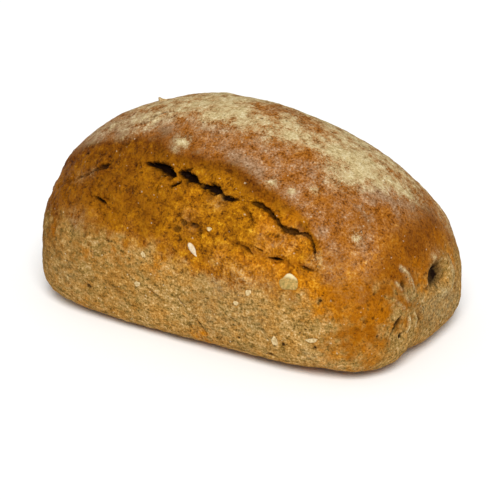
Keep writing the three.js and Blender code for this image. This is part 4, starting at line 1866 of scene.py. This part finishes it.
@dataclass(frozen=True)
class Grains:
    """The seeds and flakes that show in the crust."""

    kernel: Kernel = Kernel("sunflower_kernel", (3, -63, 60), (9.5, -65, 53.5))
    oat: Flake = Flake("oat_flake", (64, -63, 52), 10.4, 8.2, 10, paler_top=0.85)
    flakes: tuple[Flake, ...] = (
        Flake("wheat_flake_1", (42, -67, 42.5), 3.6, 2.8, 40),
        Flake("wheat_flake_2", (13, -60, 69), 3.0, 2.2, 0),
        Flake("wheat_flake_3", (-27, -68, 31), 3.6, 2.8, 20),
        Flake("wheat_flake_4", (-24, -66, 48), 3.4, 2.2, -50),
        Flake("wheat_flake_5", (35, -68, 35), 2.8, 2.2, 0),
        Flake("wheat_flake_6", (79, -65, 24), 6.4, 2.2, 12),
        Flake("wheat_flake_7", (58, -67, 19), 3.4, 5.2, 10),
    )
    kernel_skin: DrySeed = DrySeed("hulled_sunflower_kernel", "#dccaac", "#c4ae8a", 0.5)
    oat_skin: DrySeed = DrySeed("rolled_oat_flake", "#c49c58", "#8c783c", 0.8)
    wheat_skin: DrySeed = DrySeed("wheat_flake_in_crust", "#dcc494", "#ae9260", 0.85, 1.0)

    def build(self, loaf: Loaf) -> list[bpy.types.Object]:
        """Builds every grain on the loaf's crust.

        Args:
            loaf: the loaf they lie on.

        Returns:
            The grains.
        """
        wheat = self.wheat_skin.make()
        return [self.kernel.build(loaf, self.kernel_skin.make()), self.oat.build(loaf, self.oat_skin.make()),
                *(flake.build(loaf, wheat) for flake in self.flakes)]


# ------------------------------------------------------------------ the studio


@dataclass(frozen=True)
class MattBoard:
    """White board of pressed paper pulp: its fibres scatter light evenly, so it looks matt and soft."""

    colour: str = "#fbfbfa"
    rough: float = 0.9
    gleam: float = 0.1

    def make(self) -> bpy.types.Material:
        """Builds the material.

        Returns:
            The material.
        """
        material = bpy.data.materials.new("matt_white_board")
        material.use_nodes = True
        shader = material.node_tree.nodes["Principled BSDF"]
        shader.inputs["Base Color"].default_value = linear(self.colour)
        shader.inputs["Roughness"].default_value = self.rough
        shader.inputs["Specular IOR Level"].default_value = self.gleam
        return material


@dataclass(frozen=True)
class Studio:
    """A pale floor, soft lights and the camera. Angles are in degrees, with azimuth 0 in front of -Y."""

    azimuth: float = 31.95
    elevation: float = 22.80
    distance: float = 1150.0
    lens: float = 151.8
    sensor: float = 36.0
    # What the camera sees, from and to, and how far the floor reaches and lies low, in metres.
    clip: tuple[float, float] = (0.05, 50)
    floor_reach: float = 6.0
    floor_drop: float = 0.0002
    aim: tuple[float, float, float] = (6.1, -7.9, 35.7)
    key_azimuth: float = 32
    key_elevation: float = 50
    key_strength: float = 2.9
    key_spread: float = 34
    room_strength: float = 0.42

    def _towards(self, azimuth: float, elevation: float) -> Vector:
        """The unit direction from the loaf to a place in the studio."""
        turn, rise = math.radians(azimuth), math.radians(elevation)
        return Vector((math.sin(turn) * math.cos(rise), -math.cos(turn) * math.cos(rise), math.sin(rise)))

    def camera(self) -> None:
        """Stands the camera in front of the loaf, a little to its right and above it."""
        low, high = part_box(CAD_NODE)
        middle = Vector((low + high) / 2) / MM
        eye = middle + self._towards(self.azimuth, self.elevation) * self.distance
        data = bpy.data.cameras.new("camera")
        data.lens, data.sensor_width = self.lens, self.sensor
        data.clip_start, data.clip_end = self.clip
        camera = bpy.data.objects.new("camera", data)
        camera.location = eye * MM
        camera.rotation_euler = (Vector(self.aim) - eye).to_track_quat("-Z", "Y").to_euler()
        bpy.context.scene.collection.objects.link(camera)
        bpy.context.scene.camera = camera

    def floor(self) -> None:
        """Lays the floor."""
        mesh = bpy.data.meshes.new("floor")
        reach = self.floor_reach
        mesh.from_pydata([(-reach, -reach, 0), (reach, -reach, 0), (reach, reach, 0), (-reach, reach, 0)],
                         [], [(0, 1, 2, 3)])
        mesh.materials.append(MattBoard().make())
        floor = bpy.data.objects.new("floor", mesh)
        floor.location.z = -self.floor_drop
        bpy.context.scene.collection.objects.link(floor)

    def key(self) -> None:
        """Hangs the main light: a broad soft one, high in front and a little to the right."""
        away = self._towards(self.key_azimuth, self.key_elevation)
        data = bpy.data.lights.new("key", "SUN")
        data.energy, data.angle = self.key_strength, math.radians(self.key_spread)
        light = bpy.data.objects.new("key", data)
        light.location = away
        light.rotation_euler = (-away).to_track_quat("-Z", "Y").to_euler()
        bpy.context.scene.collection.objects.link(light)

    def sky(self) -> None:
        """Fills the room with even white light."""
        world = bpy.data.worlds.new("room")
        world.use_nodes = True
        background = world.node_tree.nodes["Background"]
        background.inputs["Color"].default_value = (1, 1, 1, 1)
        background.inputs["Strength"].default_value = self.room_strength
        bpy.context.scene.world = world
        bpy.context.scene.view_settings.view_transform = "Standard"

    def build(self) -> None:
        """Sets up the whole studio."""
        self.camera()
        self.floor()
        self.sky()
        self.key()


def main() -> None:
    """Builds the studio and the loaf, and reports each piece."""
    logging.basicConfig(level=logging.INFO, format="%(name)s: %(message)s")
    Studio().build()
    finish = BakedCrust().make()
    loaf = Loaf(DoughForm.from_frame())
    pieces = [loaf.build(finish), Thorn().build(loaf, finish), *Grains().build(loaf)]
    for piece in pieces:
        piece.data.calc_loop_triangles()
        LOG.info("%s: %d triangles", piece.name, len(piece.data.loop_triangles))


if __name__ == "__main__":
    main()
